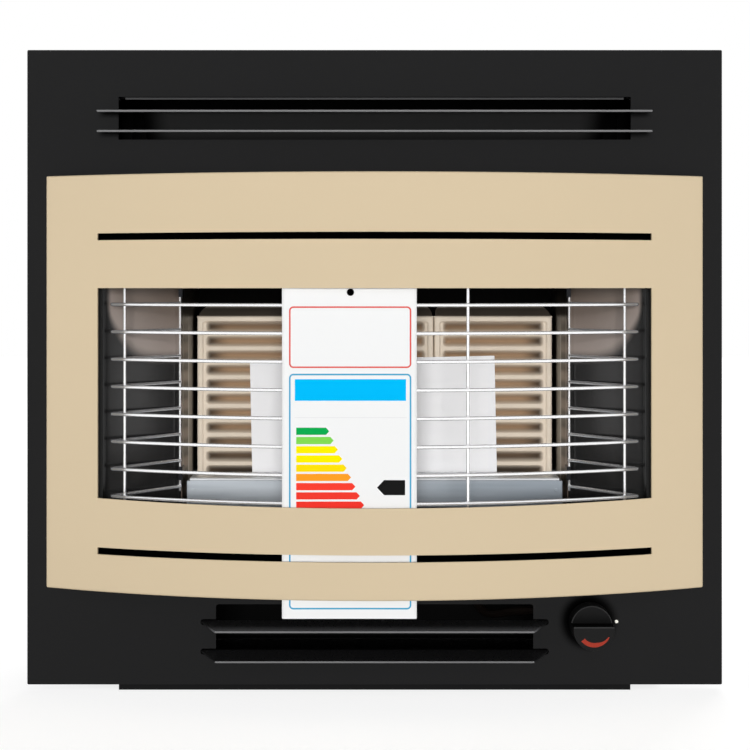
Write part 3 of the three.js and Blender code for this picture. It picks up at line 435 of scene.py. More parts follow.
def circle(sides):
    """Cosines and sines of the angles round a circle, each as a column."""
    angle = np.linspace(0, 2 * math.pi, sides, endpoint=False)[:, None]
    return np.cos(angle), np.sin(angle)


def tube(rings, capped=True):
    """Rings of points that follow each other, as (points, faces)."""
    count, sides = rings.shape[:2]
    faces = grid_quads(count, sides, wrap_columns=True).tolist()
    if capped:
        faces += [list(range(sides)), list(range((count - 1) * sides, count * sides))]
    return rings.reshape(-1, 3), faces


def join_parts(parts):
    """Puts several (points, faces) pairs into one pair."""
    points, faces, offset = [], [], 0
    for part_points, part_faces in parts:
        points.append(np.asarray(part_points, float))
        faces.extend([[int(corner) + offset for corner in face] for face in part_faces])
        offset += len(part_points)
    return np.concatenate(points), faces


@contextmanager
def opened(mesh):
    """Opens a mesh for changes and writes them back."""
    shell = bmesh.new()
    shell.from_mesh(mesh)
    yield shell
    shell.to_mesh(mesh)
    shell.free()


def set_down(name, mesh, material, node=None, body="casing"):
    """Puts a mesh into the scene, riding on a body. It can stand for a node of the frame."""
    mesh.materials.clear()
    mesh.materials.append(material)
    made = add_object(name, mesh)
    if node:
        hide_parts(node)
        body = nodes[node]["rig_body"]
    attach(made, body)
    return made


def piece(name, surface, material, node=None, sharp=35):
    """Makes one finished object from (points, faces) in the fire's own millimetres."""
    points, faces = surface
    world = np.asarray(points, float) * MILLIMETRE
    world[:, 1] -= FOOTPRINT_MIDDLE * MILLIMETRE
    mesh = bpy.data.meshes.new(name)
    mesh.from_pydata(world.tolist(), [], [list(map(int, face)) for face in faces])
    with opened(mesh) as shell:
        bmesh.ops.remove_doubles(shell, verts=shell.verts, dist=1e-6)
        bmesh.ops.recalc_face_normals(shell, faces=shell.faces)
    mesh.polygons.foreach_set("use_smooth", np.ones(len(mesh.polygons), bool))
    mesh.set_sharp_from_angle(angle=math.radians(sharp))
    return set_down(name, mesh, material, node)


def round_edges(target, width, segments, angle=30):
    """A bevel rounds every edge that turns by more than an angle, as a press or a file does."""
    bevel = target.modifiers.new("rounded_edges", "BEVEL")
    bevel.width = width * MILLIMETRE
    bevel.segments = segments
    bevel.limit_method = "ANGLE"
    bevel.angle_limit = math.radians(angle)
    bevel.harden_normals = True
    return target


def frame_copy(name, node, material, width):
    """A merged copy of a frame piece, with its flat faces made whole and its edges rounded."""
    mesh = nodes[node].data.copy()
    mesh.name = name
    with opened(mesh) as shell:
        bmesh.ops.remove_doubles(shell, verts=shell.verts, dist=2e-6)
        bmesh.ops.dissolve_limit(
            shell, angle_limit=math.radians(1), verts=shell.verts, edges=shell.edges
        )
    return round_edges(set_down(name, mesh, material, node), width, 3)


def give_thickness(target, sheet, even=False):
    """Removes loose points, turns an open surface to the room and makes a sheet of it."""
    with opened(target.data) as shell:
        loose = [vertex for vertex in shell.verts if not vertex.link_faces]
        bmesh.ops.delete(shell, geom=loose, context="VERTS")
        shell.faces.ensure_lookup_table()
        if shell.faces[len(shell.faces) // 2].normal.y > 0:
            bmesh.ops.reverse_faces(shell, faces=shell.faces)
    wall = target.modifiers.new("sheet", "SOLIDIFY")
    wall.thickness = sheet * MILLIMETRE
    wall.offset = -1
    wall.use_even_offset = even
    return target


def bend(start, corner, end, steps=5):
    """A quadratic curve: (1-t)^2 start + 2 t (1-t) corner + t^2 end."""
    t = np.linspace(0, 1, steps + 1)[:, None]
    return (1 - t) ** 2 * start + 2 * t * (1 - t) * corner + t**2 * end


def rounded_path(corners, radius):
    """A path whose inner corners become bends that start a radius before each corner."""
    corners = np.asarray(corners, float)
    parts = [corners[:1]]
    for before, corner, after in zip(corners, corners[1:], corners[2:]):
        come, leave = before - corner, after - corner
        start = corner + come / np.linalg.norm(come) * min(radius, np.linalg.norm(come) / 2)
        end = corner + leave / np.linalg.norm(leave) * min(radius, np.linalg.norm(leave) / 2)
        parts.append(bend(start, corner, end))
    parts.append(corners[-1:])
    return np.concatenate(parts)


def path_normals(path):
    """Unit directions at right angles to a flat path, to its left."""
    ahead = np.gradient(path, axis=0)
    ahead /= np.linalg.norm(ahead, axis=1)[:, None]
    return np.stack([-ahead[:, 1], ahead[:, 0]], axis=1)


def folded_sheet(path, low, high, sheet, upright=False):
    """A sheet that follows a path, as (points, faces).

    The section is the path and the same path moved sideways by the sheet's thickness, and the
    section is carried from low to high: along z when upright, or else along x.
    """
    path = np.asarray(path, float)
    section = np.concatenate([path, (path + path_normals(path) * sheet)[::-1]])
    count = len(section)
    ends = np.repeat([low, high], count)[:, None]
    section = np.tile(section, (2, 1))
    points = np.hstack([section, ends] if upright else [ends, section])
    faces = grid_quads(2, count, wrap_columns=True).tolist()
    i = np.arange(count // 2 - 1)
    caps = np.stack([i, i + 1, count - 2 - i, count - 1 - i], axis=1)
    return points, faces + caps.tolist() + (caps + count).tolist()


def domed_head(centre, radius, height, facing=(0, -1, 0), rings=4, sides=16):
    """A domed screw or rivet head, as (points, faces), whose dome rises along facing.

    On the dome the radius is r cos t and the height is h (0.35 + 0.65 sin t).
    """
    facing = np.array(facing, float)
    side = np.cross(facing, [0, 0, 1.0] if abs(facing[2]) < 0.5 else [1.0, 0, 0])
    up = np.cross(side, facing)
    t = np.linspace(0, math.pi / 2, rings + 1)[:-1]
    radii = np.concatenate([[radius], radius * np.cos(t)])[:, None, None]
    heights = np.concatenate([[0], height * (0.35 + 0.65 * np.sin(t))])[:, None, None]
    cos, sin = circle(sides)
    return tube(np.array(centre, float) + radii * (cos * side + sin * up) + heights * facing)


# %% [markdown]
# ## The surround plate and its louvres
#
# The plate is one flat sheet with its four edges folded back to the wall. On the real plate a
# folding press leaves a small radius along each fold, and that radius is what catches the light as
# a thin line along the top. A bevel on the frame's own plate gives that radius to the folds. Behind
# the bowed panel the enamel is painted near black as painted shade, and made rougher, by a soft
# mask. Only a strip beside the window, where the guard's ends let light in, stays grey as painted
# light. Round the knob a ring of black is painted shade, for the light that the knob keeps off.

# %% Surround plate
KNOB_X, KNOB_Z = 184.6, 59.5
PANEL_HALF, PANEL_LOW, PANEL_TOP = 281.0, 91.2, 443.1
WINDOW_HALF, WINDOW = 234.0, (170.2, 347.4)
PAINTED_SHADE_BLACK = 0.0008

plate_enamel = finish(
    "plate_enamel", (0.0160, 0.0160, 0.0163), 0.26, specular=0.018, **stove_skin
)
x, y, z = place_in_millimetres(plate_enamel)
# Painted shade round the knob and behind the panel, and a strip of painted light beside the window.
near_knob = distance_from(x, z, KNOB_X, KNOB_Z).ramp(28.0, 19.0)
lit_window_edge = (
    abs(x).between(WINDOW_HALF - 8, WINDOW_HALF + 9) * z.between(WINDOW[0] - 6.2, WINDOW[1] + 4.6)
)
behind_panel = (
    abs(x).ramp(PANEL_HALF + 3, PANEL_HALF - 9)
    * z.ramp(PANEL_LOW - 3.2, PANEL_LOW + 14.8) * z.ramp(PANEL_TOP + 4.9, PANEL_TOP - 11.1)
)
painted_shade_behind_panel = behind_panel * (1.0 - lit_window_edge)
paint(plate_enamel, (PAINTED_SHADE_BLACK, near_knob), (0.05, lit_window_edge), (PAINTED_SHADE_BLACK, painted_shade_behind_panel))
plate_roughness = shader_of(plate_enamel)["Roughness"]
dulled = painted_shade_behind_panel.made("MULTIPLY_ADD", 0.6, plate_roughness.links[0].from_socket)
plate_enamel.node_tree.links.new(dulled.socket, plate_roughness)
frame_copy("plate", "surround_plate", plate_enamel, 0.4)
print("plate colours:", len(plate_enamel.node_tree.nodes), "nodes")

# %% [markdown]
# The four louvre blades are strips of the same sheet that lean down towards the room. Along the
# rounded front edge a pale line is a painted highlight. The intake blades are painted lighter as
# painted light, and the top of the upper intake blade carries a painted reflection of the hearth,
# more and more towards that edge.

# %% Louvre blades
BLADE_TILT = math.radians(5.5)
BLADE_SHEET = 1.8
BLADE_REACH = 27
OUTLET_PLAN = [(234.3, -BLADE_REACH), (236.1, 2 - BLADE_REACH), (235.3, 0)]
INTAKE_PLAN = [(135, -BLADE_REACH), (136, 1 - BLADE_REACH), (149.8, 0), (149.8, 3)]
EDGE_HIGHLIGHT = (1.0 - BLADE_REACH, 0.4 - BLADE_REACH)
OVER_INTAKE = 100.0
BETWEEN_INTAKE_BLADES = 46.0

blade_enamel = finish(
    "blade_enamel", (0.0036, 0.0036, 0.0038), 0.28, specular=0.08,
    drift=0.10, grain_scale=900.0, relief=0.10, gloss_change=0.08,
)
x, y, z = place_in_millimetres(blade_enamel)
# Painted light: the intake blades are lighter, the upper intake blade's top has a painted
# reflection, and the front edges a painted highlight.
at_intake = z < OVER_INTAKE
depth = at_intake.made("MULTIPLY_ADD", 0.45, y)
painted_hearth_reflection = at_intake * (z > BETWEEN_INTAKE_BLADES) * depth.ramp(-5.0, EDGE_HIGHLIGHT[1]) ** 2.0
paint(
    blade_enamel, ((0.014, 0.014, 0.0145), at_intake), ((0.125, 0.125, 0.13), painted_hearth_reflection),
    ((0.19, 0.19, 0.193), depth.ramp(*EDGE_HIGHLIGHT)),
)


def blade_surface(half_plan, height, root):
    """A flat strip: a plan with its mirror image, made thick and turned about the back edge.

    A point (x, y) at thickness t goes to (x, y cos a - t sin a, y sin a + t cos a).
    """
    outline = np.array([(-x, y) for x, y in half_plan[::-1]] + half_plan, float)
    count = len(outline)
    levels = np.repeat([0.0, BLADE_SHEET], count)
    flat = np.tile(outline, (2, 1))
    along = flat[:, 1] * math.cos(BLADE_TILT) - levels * math.sin(BLADE_TILT) + root
    up = flat[:, 1] * math.sin(BLADE_TILT) + levels * math.cos(BLADE_TILT) + height
    return tube(np.stack([flat[:, 0], along, up], axis=1).reshape(2, count, 3))


for name, node, plan, heights, root in (
    ("warm_air_blade", "outlet_louvre", OUTLET_PLAN, (482.0, 499.0), -0.3),
    ("intake_blade", "intake_louvre", INTAKE_PLAN, (32.5, 57.9), 0.0),
):
    for place, height in zip(("lower", "upper"), heights):
        surface = blade_surface(plan, height, root)
        round_edges(piece(f"{name}_{place}", surface, blade_enamel, f"{node}_{place}"), 0.6, 3)
print("blade nodes:", len(blade_enamel.node_tree.nodes))

# %% [markdown]
# ## The bowed front panel
#
# The panel is one sheet bent to a long arc, so seen from the front its straight top and bottom
# edges look curved. Its edges roll over a small radius into a lip. A surface that adds the arc, the
# roll across and the roll upwards gives all of that at once, and leaving out grid cells makes the
# window and the two long slots.

# %% Front panel
PANEL_RADIUS = 721.14
PANEL_FRONT = -69.0
PANEL_SHEET = 1.5
PANEL_ROLL = 1.6
PANEL_LIP = 4.1
PANEL_RETURN = 10.0
WINDOW_BOW = 3.2
TOP_SLOT = (387.7, 393.6)
BOTTOM_SLOT = (122.8, 128.7)


def bow_depth(across, radius=PANEL_RADIUS, front=PANEL_FRONT):
    """Depth of an arc about an upright axis: front + R - sqrt(R^2 - x^2)."""
    return front + radius - np.sqrt(radius**2 - across**2)


def rolled(low, high, lines, lip, steps=5):
    """Stations over a sheet whose two ends roll back: (place, depth) for each station.

    On a roll of radius r the place is end - r + r sin t and the depth is r - r cos t.
    """
    turn = np.linspace(0, math.pi / 2, steps + 1)
    roll_out = PANEL_ROLL * np.sin(turn) - PANEL_ROLL
    roll_back = PANEL_ROLL * (1 - np.cos(turn))
    flat = np.unique(np.round(np.concatenate(lines), 4))
    flat = flat[(flat > low + PANEL_ROLL) & (flat < high - PANEL_ROLL)]
    place = np.concatenate([[low], (low - roll_out)[::-1], flat, high + roll_out, [high]])
    depth = np.concatenate([[lip], roll_back[::-1], np.zeros(len(flat)), roll_back, [lip]])
    return place, depth


across, across_back = rolled(
    -PANEL_HALF, PANEL_HALF, [np.arange(-276, 277, 4.0), [-WINDOW_HALF, WINDOW_HALF]], PANEL_RETURN
)
upwards, upwards_back = rolled(
    PANEL_LOW, PANEL_TOP, [np.arange(96, 440, 8.0), TOP_SLOT, BOTTOM_SLOT, WINDOW], PANEL_LIP
)
z_grid, x_grid = np.meshgrid(upwards, across, indexing="ij")
back_grid = upwards_back[:, None] + across_back[None, :]
sag = np.interp(z_grid, [BOTTOM_SLOT[1], *WINDOW], [0, 1, 0], 0, 0)
sag *= WINDOW_BOW * np.clip(1 - (x_grid / WINDOW_HALF) ** 2, 0, 1)
panel_points = np.stack([x_grid, bow_depth(x_grid) + back_grid, z_grid - sag], axis=-1)
cell_z, cell_x = np.meshgrid(
    (upwards[1:] + upwards[:-1]) / 2, (across[1:] + across[:-1]) / 2, indexing="ij"
)
left_out = np.zeros(cell_x.shape, bool)
for low, high in (WINDOW, TOP_SLOT, BOTTOM_SLOT):
    left_out |= (np.abs(cell_x) < WINDOW_HALF) & (cell_z > low) & (cell_z < high)
left_out[np.ix_([0, -1], [0, -1])] = True
panel_faces = grid_quads(len(upwards), len(across))[~left_out.ravel()]
panel = piece(
    "bowed_panel", (panel_points.reshape(-1, 3), panel_faces), champagne, "front_panel"
)
round_edges(give_thickness(panel, PANEL_SHEET, even=True), 0.3, 2, 50)
print("panel cells:", len(panel_faces))

# %% [markdown]
# ## The wire guard
#
# Nine bright wires bow out behind the panel and turn back into the firebox at both ends, where two
# thin uprights hold them. Four more uprights are welded behind the arc. A wire is a circle carried
# along a path; the path lies flat, so the circle's own axes are the path's sideways normal and up.

# %% Guard
WIRE = 1.5
GUARD_FRONT = -58.0
GUARD_HALF = 226.8
GUARD_BOW = 49.5
GUARD_RADIUS = (GUARD_HALF**2 + GUARD_BOW**2) / (GUARD_BOW * 2)
GUARD_BACK = (175.3, 55.6)
GUARD_CORNER = 4.0
UPRIGHTS = (-214, -73.2, 77.5, 214)
UPRIGHT_END = 4.5
wire_heights = 168.9 + 23.5 * np.arange(9)


def guard_path():
    """Half arc, a quadratic bend at the corner, and a straight run back, mirrored about x = 0."""
    reach = math.asin(GUARD_HALF / GUARD_RADIUS)
    arc_x = np.sin(np.linspace(0, reach, 60)) * GUARD_RADIUS
    arc = np.stack([arc_x, bow_depth(arc_x, GUARD_RADIUS, GUARD_FRONT)], axis=1)
    end = arc[-1]
    arriving = np.array([math.cos(reach), math.sin(reach)])
    leaving = np.array(GUARD_BACK) - end
    leaving /= np.linalg.norm(leaving)
    turned = bend(end - arriving * GUARD_CORNER, end, end + leaving * GUARD_CORNER, 12)
    kept = arc[arc[:, 0] < GUARD_HALF - GUARD_CORNER]
    right = np.concatenate([kept, turned, [GUARD_BACK]])
    return np.concatenate([right[:0:-1] * [-1, 1], right])


def wire_along(path, height, sides=14):
    """Points p + r (cos a n + sin a up) round each point p of a flat path with normal n."""
    cos, sin = circle(sides)
    flat = path[:, None] + WIRE * cos * path_normals(path)[:, None]
    up = np.broadcast_to(height + WIRE * sin, (len(path), sides, 1))
    return tube(np.concatenate([flat, up], axis=-1))


def upright_wire(x, y, radius, sides=14):
    """An upright wire with round ends, which swells a little where it is welded to each wire."""
    low, high = wire_heights[0] - UPRIGHT_END, wire_heights[-1] + UPRIGHT_END
    straight = np.arange(low + radius, high - radius, 0.8)
    swell = np.exp(-((straight[:, None] - wire_heights) / 1.3) ** 2).sum(axis=1)
    turn = np.linspace(0, math.pi / 2, 5)
    heights = np.concatenate([
        low + radius * (1 - np.cos(turn)), straight, high - radius * (1 - np.cos(turn[::-1])),
    ])[:, None]
    radii = np.concatenate([
        radius * np.sin(turn), radius + 0.35 * swell, radius * np.sin(turn[::-1]),
    ])[:, None]
    cos, sin = [values.T for values in circle(sides)]
    return tube(np.stack([x + radii * cos, y + radii * sin, heights + 0 * cos], -1), capped=False)


guard_parts = [wire_along(guard_path(), height) for height in wire_heights]
for x in UPRIGHTS:
    depth = float(bow_depth(np.array(x), GUARD_RADIUS, GUARD_FRONT)) + 2.4
    guard_parts.append(upright_wire(x, depth, 1.3))
for sign in (-1, 1):
    guard_parts.append(upright_wire(sign * GUARD_BACK[0], GUARD_BACK[1], 1.1))
guard = piece("wire_guard", join_parts(guard_parts), chrome_wire, "dress_guard", sharp=50)
print("guard faces:", len(guard.data.polygons))

# %% [markdown]
# ## The radiants
#
# Each radiant is a block of fired clay with a raised border, a lower step inside it, and eleven
# deep slots with round ends, one over the other. The front is a relief: the depth at a point is a
# sum of soft steps, each driven by the distance to a rounded rectangle. The distance is negative
# inside, so a step starts at its edge and is full a little further in. Each slot is a V with a
# round bottom, as deep as the clay was pressed. The slots' depths are painted brown and dark as
# painted shade, darkest near the burner, near the top and at the ends of the slots.

# %% Radiants
RADIANT_WIDTH, RADIANT_HEIGHT, RADIANT_DEPTH = 110.3333, 155.0, 26.0
RADIANT_GAP = 0.8
RADIANT_LOW = 165.9
RADIANT_FRONT = 110.0
RADIANT_RIM = 2.2
STEP_INSET, STEP_DEPTH = 4.5, 2.4
SLOT_COUNT, SLOT_PITCH = 11, 13.5
SLOT_HALF_HEIGHT, SLOT_INSET, SLOT_DEPTH = 5.1, 8.0, 6.2
BURNER_SHADE = (232.0, 168.0)
TOP_SHADE = (304.0, 322.0)
END_SHADE = (136.0, 157.0)
radiant_middles = np.array([-1, 0, 1]) * (RADIANT_WIDTH + RADIANT_GAP)


def rounded_box_distance(x, z, half_width, half_height, radius):
    """Signed distance to a rounded rectangle: |max(q, 0)| + min(max(q), 0) - r."""
    q_x = np.abs(x) - (half_width - radius)
    q_z = np.abs(z) - (half_height - radius)
    outside = np.hypot(np.maximum(q_x, 0), np.maximum(q_z, 0))
    return outside + np.minimum(np.maximum(q_x, q_z), 0) - radius


def radiant_surface():
    """The relief on a grid, its rim carried back to the rear face, closed by one face.

    With the share t of the way in, a step is 3 t^2 - 2 t^3 and a slot is 1.5 t - 0.5 t^3.
    """
    half_width, half_height = RADIANT_WIDTH / 2, RADIANT_HEIGHT / 2
    edge = np.concatenate([[0, 0.25, 0.6, 1.0, 1.6, 2.3], np.arange(3, 18, 0.6)])
    x = np.concatenate([-half_width + edge, np.arange(-36, 37, 6.0), (half_width - edge)[::-1]])
    z = np.concatenate([
        -half_height + edge[:6], np.arange(-half_height + 3, half_height - 2.9, 0.55),
        (half_height - edge[:6])[::-1],
    ])
    z_grid, x_grid = np.meshgrid(z, x, indexing="ij")
    outer = rounded_box_distance(x_grid, z_grid, half_width, half_height, 2.5)
    rim = np.clip(1 + outer / RADIANT_RIM, 0, 1)
    depth = RADIANT_RIM * (1 - np.sqrt(np.clip(1 - rim**2, 0, 1)))
    inner = (half_width - STEP_INSET, half_height - STEP_INSET)
    share = np.clip(-rounded_box_distance(x_grid, z_grid, *inner, 3.0) / 1.6, 0, 1)
    depth = depth + STEP_DEPTH * share**2 * (3 - 2 * share)
    stack = (SLOT_COUNT - 1) * SLOT_PITCH / 2
    for centre in np.linspace(-stack, stack, SLOT_COUNT):
        slot = rounded_box_distance(
            x_grid, z_grid - centre, half_width - SLOT_INSET, SLOT_HALF_HEIGHT, 3.6
        )
        share = np.clip(-slot / SLOT_HALF_HEIGHT, 0, 1)
        depth = depth + SLOT_DEPTH * (1.5 * share - 0.5 * share**3)
    front = np.stack([x_grid, RADIANT_FRONT + depth, z_grid], axis=-1).reshape(-1, 3)
    loop = rim_loop(*z_grid.shape)
    back = front[loop].copy()
    back[:, 1] = RADIANT_FRONT + RADIANT_DEPTH
    behind = z_grid.size + np.arange(len(loop))
    sides = np.stack([loop, np.roll(loop, -1), np.roll(behind, -1), behind], axis=1)
    faces = grid_quads(*z_grid.shape).tolist() + sides.tolist() + [behind.tolist()]
    return np.concatenate([front, back]), faces


x, y, z = place_in_millimetres(fired_clay)
# Painted shade in the depths of the slots, darkest near the burner, near the top and at the ends.
in_slot = y.ramp(RADIANT_FRONT + 1.6, RADIANT_FRONT + 9.2)
shaded_heights = z.ramp(*BURNER_SHADE) | z.ramp(*TOP_SHADE)
groove_shade_colour = blend(shaded_heights, (0.34, 0.22, 0.13), (0.018, 0.012, 0.009))
groove_shade_colour = blend(abs(x).ramp(*END_SHADE), groove_shade_colour, (0.05, 0.032, 0.02))
paint(fired_clay, (groove_shade_colour, in_slot))

radiant_points, radiant_faces = radiant_surface()
for middle, side in zip(radiant_middles, ("left", "centre", "right")):
    moved = radiant_points + [middle, 0, RADIANT_LOW + RADIANT_HEIGHT / 2]
    piece(f"clay_radiant_{side}", (moved, radiant_faces), fired_clay, f"radiant_{side}", 60)
print("faces in a radiant:", len(radiant_faces))

# %% [markdown]
# Each radiant is closed at the top by a sloping clay lip with slanted ends. It is brown with heat,
# and its rear edge carries a painted highlight. A lip is a grid whose width shrinks along the
# slope.

# %% Radiant lips
LIP_FRONT = np.array([114.6, 321.4])
LIP_REAR = np.array([148.6, 330.0])
LIP_TAPER = 6.5
LIP_SHEET = 1.2

lip_clay = finish(
    "browned_clay", (0.14, 0.115, 0.09), 0.85, specular=0.1,
    drift=0.15, drift_scale=24.0, grain_scale=500.0, relief=0.3,
)
# A painted highlight along the lip's rear edge.
rear_edge_highlight = place_in_millimetres(lip_clay)[1].ramp(138.0, 145.5)
paint(lip_clay, ((0.5, 0.43, 0.36), rear_edge_highlight))


def lip_surface(middle, rows=12, columns=24):
    """A sloping plate whose half width is w - taper (1 - sqrt(1 - v^2)) at the share v up it."""
    v, u = np.meshgrid(np.linspace(0, 1, rows), np.linspace(-1, 1, columns), indexing="ij")
    half = RADIANT_WIDTH / 2 - 1.0 - LIP_TAPER * (1 - np.sqrt(1 - 0.98 * v**2))
    slope = LIP_FRONT + (LIP_REAR - LIP_FRONT) * v[..., None]
    upper = np.concatenate([(middle + u * half)[..., None], slope], axis=-1)
    return facing_pair(upper, upper - [0, 0, LIP_SHEET])


lips = join_parts([lip_surface(middle) for middle in radiant_middles])
piece("radiant_lips", lips, lip_clay, "radiant_baffle", sharp=40)
print("faces in the lips:", len(lips[1]))

# %% [markdown]
# A round spoiler stands in the flue spigot, as fitters leave it where the chimney draws too hard.
# It also keeps daylight out of the firebox.

# %% Flue spoiler
SPOILER_PLACE = (0, 186, 318)
SPOILER_RADIUS = 39.75
spoiler = domed_head(SPOILER_PLACE, SPOILER_RADIUS, 3.0, sides=64)
piece("flue_spoiler", spoiler, firebox_black_steel, sharp=50)
print("spoiler faces:", len(spoiler[1]))

# %% [markdown]
# ## The outlet hood
#
# Behind the outlet a folded hood turns the warm air forwards. Its hem shows as a pale line just
# under the top of the opening, a painted highlight, its roof is black, and its slanting back is
# painted a little lighter near the top as painted light. The lit patch is a product of ramps.

# %% Outlet hood
HOOD_HALF = 215.4
HOOD_PATH = [(1.8, 510.4), (1.8, 512.3), (98.5, 512.3), (166.3, 450.2), (166.3, 440.2)]
HOOD_SHEET = 1.2
HEM_DEPTH = 2.2
LIT_UPWARDS, LIT_BACKWARDS = (464.0, 510.0), (90.0, 97.0)

hood_enamel = finish(
    "hood_enamel_painted_light", (0.002, 0.002, 0.002), 0.5, specular=0.05,
    drift=0.10, drift_scale=12.0, grain_scale=900.0, relief=0.05, gloss_change=0.08,
)
x, y, z = place_in_millimetres(hood_enamel)
# Painted light on the upper part of the slanting back, and a painted highlight along the hem.
painted_light_patch = z.ramp(*LIT_UPWARDS) * y.ramp(*LIT_BACKWARDS) * abs(x).ramp(HOOD_HALF, 190.0)
paint(hood_enamel, (0.04, painted_light_patch), ((0.055, 0.055, 0.056), y < HEM_DEPTH))
hood = folded_sheet(rounded_path(HOOD_PATH, 0.9), -HOOD_HALF, HOOD_HALF, -HOOD_SHEET)
piece("hood_sheet", hood, hood_enamel, "outlet_hood", sharp=50)
print("hood faces:", len(hood[1]))

# %% [markdown]
# Angle strips are welded along the inner corners of the case, as on a folded case, and they keep
# daylight out of its seams. Outside, the panels are riveted to each other round the back, and each
# rivet is a zinc plated dome.

# %% Case seams and rivets
SEAM_SIDE, SEAM_REAR, SEAM_FLOOR, SEAM_ROOF = 248.3, 166.4, 8.4, 530.4
SEAM_LEG, SEAM_SHEET = 12.0, 0.9
RIVET_RADIUS, RIVET_HEIGHT = 2.7, 1.3
RIVET_INSET = 7.5
SIDE_ROW, BACK_ROW, BACK_ROW_LOW = np.linspace(42, 502, 7), np.linspace(-205, 205, 6), 16.5


def corner_strip(start, legs, low, high, upright):
    """An L of sheet in the corner at start, with a leg along each of the two given directions."""
    start, legs = np.array(start), np.array(legs)
    path = rounded_path([start + legs[0] * SEAM_LEG, start, start + legs[1] * SEAM_LEG], 1.2)
    turn = legs[0, 0] * legs[1, 1] - legs[0, 1] * legs[1, 0]
    return folded_sheet(path, low, high, -turn * SEAM_SHEET, upright=upright)


seams = [
    corner_strip((sign * SEAM_SIDE, SEAM_REAR), [(-sign, 0), (0, -1)], SEAM_FLOOR, SEAM_ROOF, True)
    for sign in (-1, 1)
] + [
    corner_strip((SEAM_REAR, height), [(-1, 0), (0, step)], 2 - SEAM_SIDE, SEAM_SIDE - 2, False)
    for height, step in ((SEAM_FLOOR, 1), (SEAM_ROOF, -1))
]
piece("case_seam_strips", join_parts(seams), satin_black, sharp=50)

rivets = []
for height in SIDE_ROW:
    for sign in (-1, 1):
        rivets.append(((sign * (CASE_SIDE - RIVET_INSET), CASE_BACK, height), (0, 1, 0)))
        rivets.append(((sign * CASE_SIDE, CASE_BACK - RIVET_INSET, height), (sign, 0, 0)))
for x in BACK_ROW:
    rivets.append(((x, CASE_BACK, CASE_TOP - RIVET_INSET), (0, 1, 0)))
    rivets.append(((x, CASE_BACK, BACK_ROW_LOW), (0, 1, 0)))
    rivets.append(((x, CASE_BACK - RIVET_INSET, CASE_TOP), (0, 0, 1)))
heads = [domed_head(place, RIVET_RADIUS, RIVET_HEIGHT, facing, 3, 12) for place, facing in rivets]
piece("case_rivets", join_parts(heads), zinc_steel, sharp=50)
print("seams:", len(seams), "rivets:", len(rivets))

# %% [markdown]
# ## Reflectors and cheeks
#
# At each end of the firebox a bright sheet slants back from the plate to the guard's last wire, and
# a second sheet, the cheek, runs on past the radiants with three slight bends. Bends in sheet are
# never sharp, so each path is rounded before it becomes a sheet. A dull brown painted reflection
# lies in the upper part of the reflectors, and their front bend is painted dark as painted shade.
# The painted reflection is a mask with a soft curved edge, z = a + b t^4. On the cheeks a row of
# soft spots, a cosine of the height, is the painted shadow of the guard's wires; a painted
# highlight lies along a bend, painted shade behind the clay, and the top is darker.

# %% Reflectors and cheeks
FIREBOX_SHEET, FIREBOX_LOW, FIREBOX_HIGH = 1.0, 140.3, 362.7
REFLECTION_LOW, REFLECTION_RISE, REFLECTION_START, REFLECTION_REACH = 286.0, 50.0, 174.0, 60.0
WIRE_SHADOW_PITCH, WIRE_SHADOW_START = 26.3, 293.4
CHEEK_BEND = 88.0
SHADE_BEHIND_CLAY = (98.0, 108.0)
CHEEK_TOP_DARK = (270.0, 330.0)
REFLECTOR_PATH = [(246, 3.3), (234, 3.3), (175.2, 60.3), (175.2, 74.3)]
CHEEK_PATH = [(173.9, 60.0), (173.9, 72.0), (171.5, 88.0), (169.5, 105.5), (169.5, 149.9)]

reflector_steel = finish(
    "reflector_steel", (0.051, 0.0505, 0.0505), 0.2, 0.7, gloss_change=0.08, **rolled_skin
)
x, y, z = place_in_millimetres(reflector_steel)
# Painted reflection on the upper part, where the metal shine is also reduced, and painted shade on
# the front bend.
above_edge = z - (((abs(x) - REFLECTION_START) / REFLECTION_REACH) ** 4.0 * REFLECTION_RISE + REFLECTION_LOW)
painted_reflection = above_edge.ramp(-9.0, 7.0) * abs(x).ramp(235.0, 228.0)
painted_reflection_colour = blend(above_edge.ramp(4.0, 46.0), (0.31, 0.26, 0.232), (0.18, 0.14, 0.115))
shaded_front_bend = abs(x).ramp(229.0, 233.5)
paint(reflector_steel, (painted_reflection_colour, painted_reflection), (0.02, shaded_front_bend))
shine = painted_reflection * -0.7 + 0.7
reflector_steel.node_tree.links.new(shine.socket, shader_of(reflector_steel)["Metallic"])

cheek_steel = finish(
    "cheek_steel", (0.205, 0.18, 0.147), 0.3, 0.3, specular=0.3, gloss_change=0.10, **rolled_skin
)
x, y, z = place_in_millimetres(cheek_steel)
# Painted shadows of the guard's wires as a row of soft spots, a painted highlight along the bend,
# painted shade behind the clay, and darker towards the top.
wire_shadow_wave = ((z - WIRE_SHADOW_START) * (2 * math.pi / WIRE_SHADOW_PITCH)).made("COSINE")
wire_shadow_spots = blend(wire_shadow_wave.ramp(-0.2, 1.0), (0.045, 0.036, 0.028), (0.21, 0.16, 0.13))
paint(
    cheek_steel,
    (wire_shadow_spots, y.ramp(CHEEK_BEND + 0.2, CHEEK_BEND - 1.0)),
    ((0.42, 0.41, 0.39), y.between(CHEEK_BEND - 1.4, CHEEK_BEND + 1.6)),
    ((0.004, 0.003, 0.003), y.ramp(*SHADE_BEHIND_CLAY)),
    ((0.02, 0.016, 0.013), z.ramp(*CHEEK_TOP_DARK)),
)

